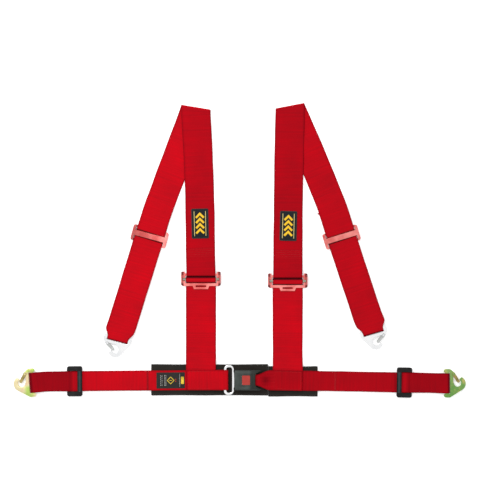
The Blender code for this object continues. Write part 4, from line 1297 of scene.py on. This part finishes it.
def lock_bar(side):
    """A knurled bar: its radius is the plain one less two crossing helical grooves, plain at the ends."""
    data = SIDES[side]
    steps, around = 230, 72
    along = np.linspace(-LOCK_HALF, LOCK_HALF, steps)
    angle = np.arange(around) * TURN / around
    a, t = np.meshgrid(along, angle, indexing="ij")
    pitch, starts = 1.9, 12
    first = np.abs(np.sin(a * math.pi / pitch + t * starts / 2))
    second = np.abs(np.sin(a * math.pi / pitch - t * starts / 2))
    from_end = LOCK_HALF - abs(a)
    knurl = 0.42 * (1 - np.sqrt(first * second)) * soft_step(from_end, 0.8, 1.6)
    round_off = np.sqrt(1 - (1 - np.clip(from_end / 0.8, 0, 1)) ** 2)
    radius = (LOCK_R - 0.8) + 0.8 * round_off - knurl
    x = data["lower_x"] + a
    y = data["lock_y"] + LOCK_TRAVEL / 2 + radius * np.cos(t)
    z = LOCK_Z + radius * np.sin(t)
    points = np.stack([x, y, z], -1).reshape(-1, 3)
    faces = grid_faces(steps, around, True)
    last = (steps - 1) * around
    faces += [list(range(around)), list(range(last, last + around))[::-1]]
    faces = [face[::-1] for face in faces]
    name = data["name"]
    made = piece(name + "_knurled_bar", points, faces, STEEL, name + "_lock")
    weld(made)
    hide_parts(name + "_lock_bar")


def cut(shape, at, normal):
    """Edges where a plane of the drawing's frame crosses the piece."""
    everything = shape.verts[:] + shape.edges[:] + shape.faces[:]
    bmesh.ops.bisect_plane(shape, geom=everything, plane_co=place(at), plane_no=normal, dist=1e-6)


RAIL_START = (42.6, 43.6)      # across the adjuster, where the painted shade on its rims starts
RAIL_ENDS = (9.0, 12.0)        # along it, from its middle, where that painted shade grows deeper
RAIL_MIDDLE = 1.5


def cut_rails(shape, side):
    """Cuts across the adjuster that the painted shade on its rims and corners ends at."""
    data = SIDES[side]
    for u in sorted(turn * u for u in (*RAIL_START, 45.2, 46.2) for turn in (-1, 1)):
        cut(shape, (data["lower_x"] + u, 0.0, 0.0), (1, 0, 0))
    for v in sorted(turn * v for v in RAIL_ENDS for turn in (-1, 1)):
        cut(shape, (0.0, data["lock_y"] + RAIL_MIDDLE + v, 0.0), (0, 1, 0))


def rail_shade(across, along):
    """Painted shade on the adjuster: its rims a little, and more at their ends."""
    ends = soft_step(abs(along - RAIL_MIDDLE), *RAIL_ENDS)
    return soft_step(across, *RAIL_START) * (0.34 + 0.5 * ends)


def tongue_plate():
    """Webbing ring and blade, pressed from one plate."""
    low, high = 10.2, 13.2
    half = [(9.0, 12.0), (5.0, 17.0), (-12.3, 17.0), (-14.1, 21.5)]
    half += arc((-25.7, 25.0), 12.0, 0, 90, 14) + arc((-28.8, 27.0), 10.0, 90, 180, 14)
    outline = eased(half + [(u, -v) for u, v in reversed(half)], 1.8)
    eye = rounded((-32.6, -31.6), (-18.7, 31.6), 5.5, 10)
    window = rounded((-2.5, -8.6), (4.5, 8.6), 1.0, 4)
    points, faces = rounded_plate([outline, eye, window], high - low, 1.25, (low + high) / 2, 6)
    seat = Seat((0.0, BELT_Y, 0.0))
    made = piece("tongue_rounded", seat.points(points), faces, CHROME, "tongue")
    crisp(made, 50.0)
    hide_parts("tongue")


COVER_LOW, COVER_TOP = 18.6, 23.4      # the cover's slopes grow between these heights
COVER_SIDE = 20.0                      # from the belt's line, where its long sides start to fall
COVER_MOUTH, MOUTH_LONG = -8.2, 5.2    # where its mouth starts to fall, and over what length
MOUTH_CUTS = (-12.4, -11.2, -9.8, COVER_MOUTH)
HORN_CUTS = (20.0, 24.0, 26.0, 28.0, 30.0, 33.0, 37.0, 41.0, 45.0, 49.0)


def sloped_cover(shape):
    """The cover's long sides and mouth fall away from the flat top as a square law, its horns droop as the
    power 1.5, and its corners at the mouth draw in."""
    side_cuts = sorted(turn * v for v in (COVER_SIDE, 21.6, 23.0, 24.2) for turn in (-1, 1))
    for v in side_cuts:
        cut(shape, (0.0, BELT_Y + v, 0.0), (0, 1, 0))
    for u in MOUTH_CUTS + HORN_CUTS:
        cut(shape, (u, 0.0, 0.0), (1, 0, 0))
    centre = place([0.0, BELT_Y, 0.0])
    low, high = COVER_LOW * MM, COVER_TOP * MM
    for vertex in shape.verts:
        u, v, _ = (np.array(vertex.co) - centre) / MM
        mouth = held((COVER_MOUTH - u) / MOUTH_LONG)
        side_fall = 3.2 * held((abs(v) - COVER_SIDE) / 5.0) ** 2
        mouth_fall = 2.4 * mouth**2
        horn_fall = 2.6 * held((u - 35.0) / 19.0) ** 1.5
        share = held((vertex.co.z - low) / (high - low))
        vertex.co.z -= (max(side_fall, mouth_fall) + horn_fall) * share * MM
        vertex.co.y -= v * 0.13 * mouth**2 * MM


def shade_by_place(made, share):
    """Painted shade for each point of a copy, by its place in the drawing's frame."""
    spots = (np.array([vertex.co for vertex in made.data.vertices]) - SHIFT) / MM
    point_values(made, "shade", np.clip(share(*spots.T), 0.0, 1.0))


def cover_shade(x, y, z):
    """Painted shade on the cover: its end towards the webbing, its long sides and its lower parts."""
    return 0.9 * soft_step(x, 23.0, 31.0) + 0.5 * (abs(y - BELT_Y) > 22.5) + 0.6 * (z < 21.0)


def buckle():
    """Sloped covers, grip ribs and button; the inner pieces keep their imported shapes."""
    for node, edge in (("buckle_top_cover", 0.5), ("buckle_bottom_cover", 0.4)):
        cover = kept_copy(node, edge, BUCKLE_PLASTIC, "buckle", shaped=sloped_cover)
        shade_by_place(cover, cover_shade)
    kept_copy("release_button", 0.3, BUTTON, "button")
    seat = Seat((0.0, BELT_Y, 23.35))
    ribs = [band(between((-6.6, v), (-1.4, v), 8), 0.55, 0.35, 0.0) for v in np.linspace(-16.0, 16.0, 11)]
    bands("buckle_grip_ribs", seat, ribs, BUCKLE_PLASTIC, "buckle")
    screws = [f"buckle_screw_{number}" for number in range(1, 5)]
    for node in ["buckle_frame", "latch_pin", "ejector_spring", "latch"] + screws:
        paint(node, STEEL)
    paint("ejector", PLASTIC)
    spring = kept_copy("button_spring", 0.0, STEEL, None)
    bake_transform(spring)


def shadow_ridge(name, seat, u, height, half, body):
    """A dark ridge along a bar's edge whose height follows a fine wave, like small teeth: painted shadow
    where the webbing dips under the bar.
    """
    path = between((u, -half), (u, half), int(2 * half / 0.9))
    points, faces, table = band(path, 1.25, 0.5, height)
    points[:, 2] += 0.18 * np.sin(points[:, 1] * TURN / 1.8)
    bands(name, seat, [(points, faces, table)], SPRING_AND_SHADOW_RED, body)


def hardware(side):
    """One side's adjuster, sliders and snap hooks."""
    data = SIDES[side]
    name = data["name"]
    lock_bar(side)
    adjuster = kept_copy(name + "_adjuster_frame", 0.35, ANODISED, name + "_adjuster",
                         shaped=lambda shape: cut_rails(shape, side))
    # painted shade on the adjuster's rims, deeper at their ends
    shade_by_place(adjuster, lambda x, y, z: rail_shade(abs(x - data["lower_x"]), y - data["lock_y"]))
    made = kept_copy(name + "_shoulder_slider", 0.5, ANODISED, name + "_shoulder_slider")
    centre, out = tail_points(side, data["slider_at"])
    # painted shade: the left slider darker towards its outer end, the right one a little darker all over
    ends = (0.7, 0.04) if side < 0 else (0.16, 0.12)
    shade_by_place(made, lambda x, y, z: np.interp(x - centre[0], (-44.0, 30.0), ends))
    kept_copy(name + "_lap_slider", 0.6, PLASTIC, name + "_lap_slider")
    slider = Seat(centre, math.degrees(math.atan2(out[1], out[0])) - 90.0)
    # painted shadow: a dark ridge along each edge of the slider's bar
    for number, u in enumerate((-7.9, 7.9), 1):
        shadow_ridge(f"{name}_shoulder_slider_teeth_{number}", slider, u, 6.75, 37.2, name + "_shoulder_slider")
    lap = Line(data["lap_origin"], data["lap_heading"])
    seat = Seat(lap.at(data["lap_slider"], 0.0), data["lap_heading"])
    # the high bar's crown: glossier, and painted lighter as a highlight
    crown = [band(between((-12.8, -26.0), (-12.8, 26.0), 40), 3.6, 0.9, 9.35)]
    bands(name + "_lap_slider_crown", seat, crown, HIGHLIT_GLOSSY_PLASTIC, name + "_lap_slider")
    snap_hook(side, "lap", "lap_hook", LEFT_ZINC if side < 0 else RIGHT_ZINC)
    snap_hook(side, "shoulder", "tail_hook", CHROME)


# ---- floor, light and camera -------------------------------------------------------------------


def studio():
    """A plain pale floor, a bright soft sky that darkens towards the horizon, one large soft light."""
    made = Finish("Pale floor", roughness=0.9, specular_ior_level=0.1, emission_strength=0.3,
                  emission_color=(1.0, 1.0, 1.0, 1.0))
    grain = made.noise(made.place(), 3.0, 2.0)
    made.colour(made.mix(grain, (0.93, 0.93, 0.93), (0.95, 0.95, 0.95)))
    mesh = bpy.data.meshes.new("floor")
    reach = 12.0
    mesh.from_pydata([(-reach, -reach, -2e-4), (reach, -reach, -2e-4), (reach, reach, -2e-4),
                      (-reach, reach, -2e-4)], [], [(0, 1, 2, 3)])
    mesh.materials.append(made.material)
    shown("floor", mesh)

    world = bpy.data.worlds.new("Studio")
    world.use_nodes = True
    bpy.context.scene.world = world
    tree = world.node_tree
    place_node = tree.nodes.new("ShaderNodeTexCoord")
    split = tree.nodes.new("ShaderNodeSeparateXYZ")
    ramp = tree.nodes.new("ShaderNodeValToRGB")
    ramp.color_ramp.elements[0].position = 0.06
    ramp.color_ramp.elements[0].color = (0.30, 0.30, 0.31, 1.0)
    ramp.color_ramp.elements[1].position = 0.55
    ramp.color_ramp.elements[1].color = (1.0, 1.0, 1.0, 1.0)
    tree.links.new(place_node.outputs["Generated"], split.inputs[0])
    tree.links.new(split.outputs[2], ramp.inputs[0])
    background = tree.nodes["Background"]
    tree.links.new(ramp.outputs[0], background.inputs["Color"])
    background.inputs["Strength"].default_value = 1.0

    data = bpy.data.lights.new("Softbox", "AREA")
    data.shape = "DISK"
    data.size = 1.6
    data.energy = 34.0
    lamp = shown("Softbox", data)
    lamp.location = (-0.9, 0.9, 1.9)
    lamp.rotation_euler = (Vector((0, 0, 0)) - Vector(lamp.location)).to_track_quat("-Z", "Y").to_euler()


def camera():
    """Straight above, a long lens: the frame is 1.25 m high."""
    high, view_height = 4.0, 1.25
    data = bpy.data.cameras.new("Camera")
    data.sensor_width = 36.0
    data.lens = data.sensor_width * high / view_height
    made = shown("Camera", data)
    middle = place([1.25, 0.0, 0.0])
    made.location = (middle[0], middle[1], high)
    bpy.context.scene.camera = made


bpy.context.scene.view_settings.view_transform = "Standard"
studio()
camera()
for belt_side in SIDES:
    lap_strap(belt_side)
    lower_strap(belt_side)
    upper_strap(belt_side)
    seams(belt_side)
    pad(belt_side)
    badge(belt_side)
    hardware(belt_side)
label()
tongue_plate()
buckle()
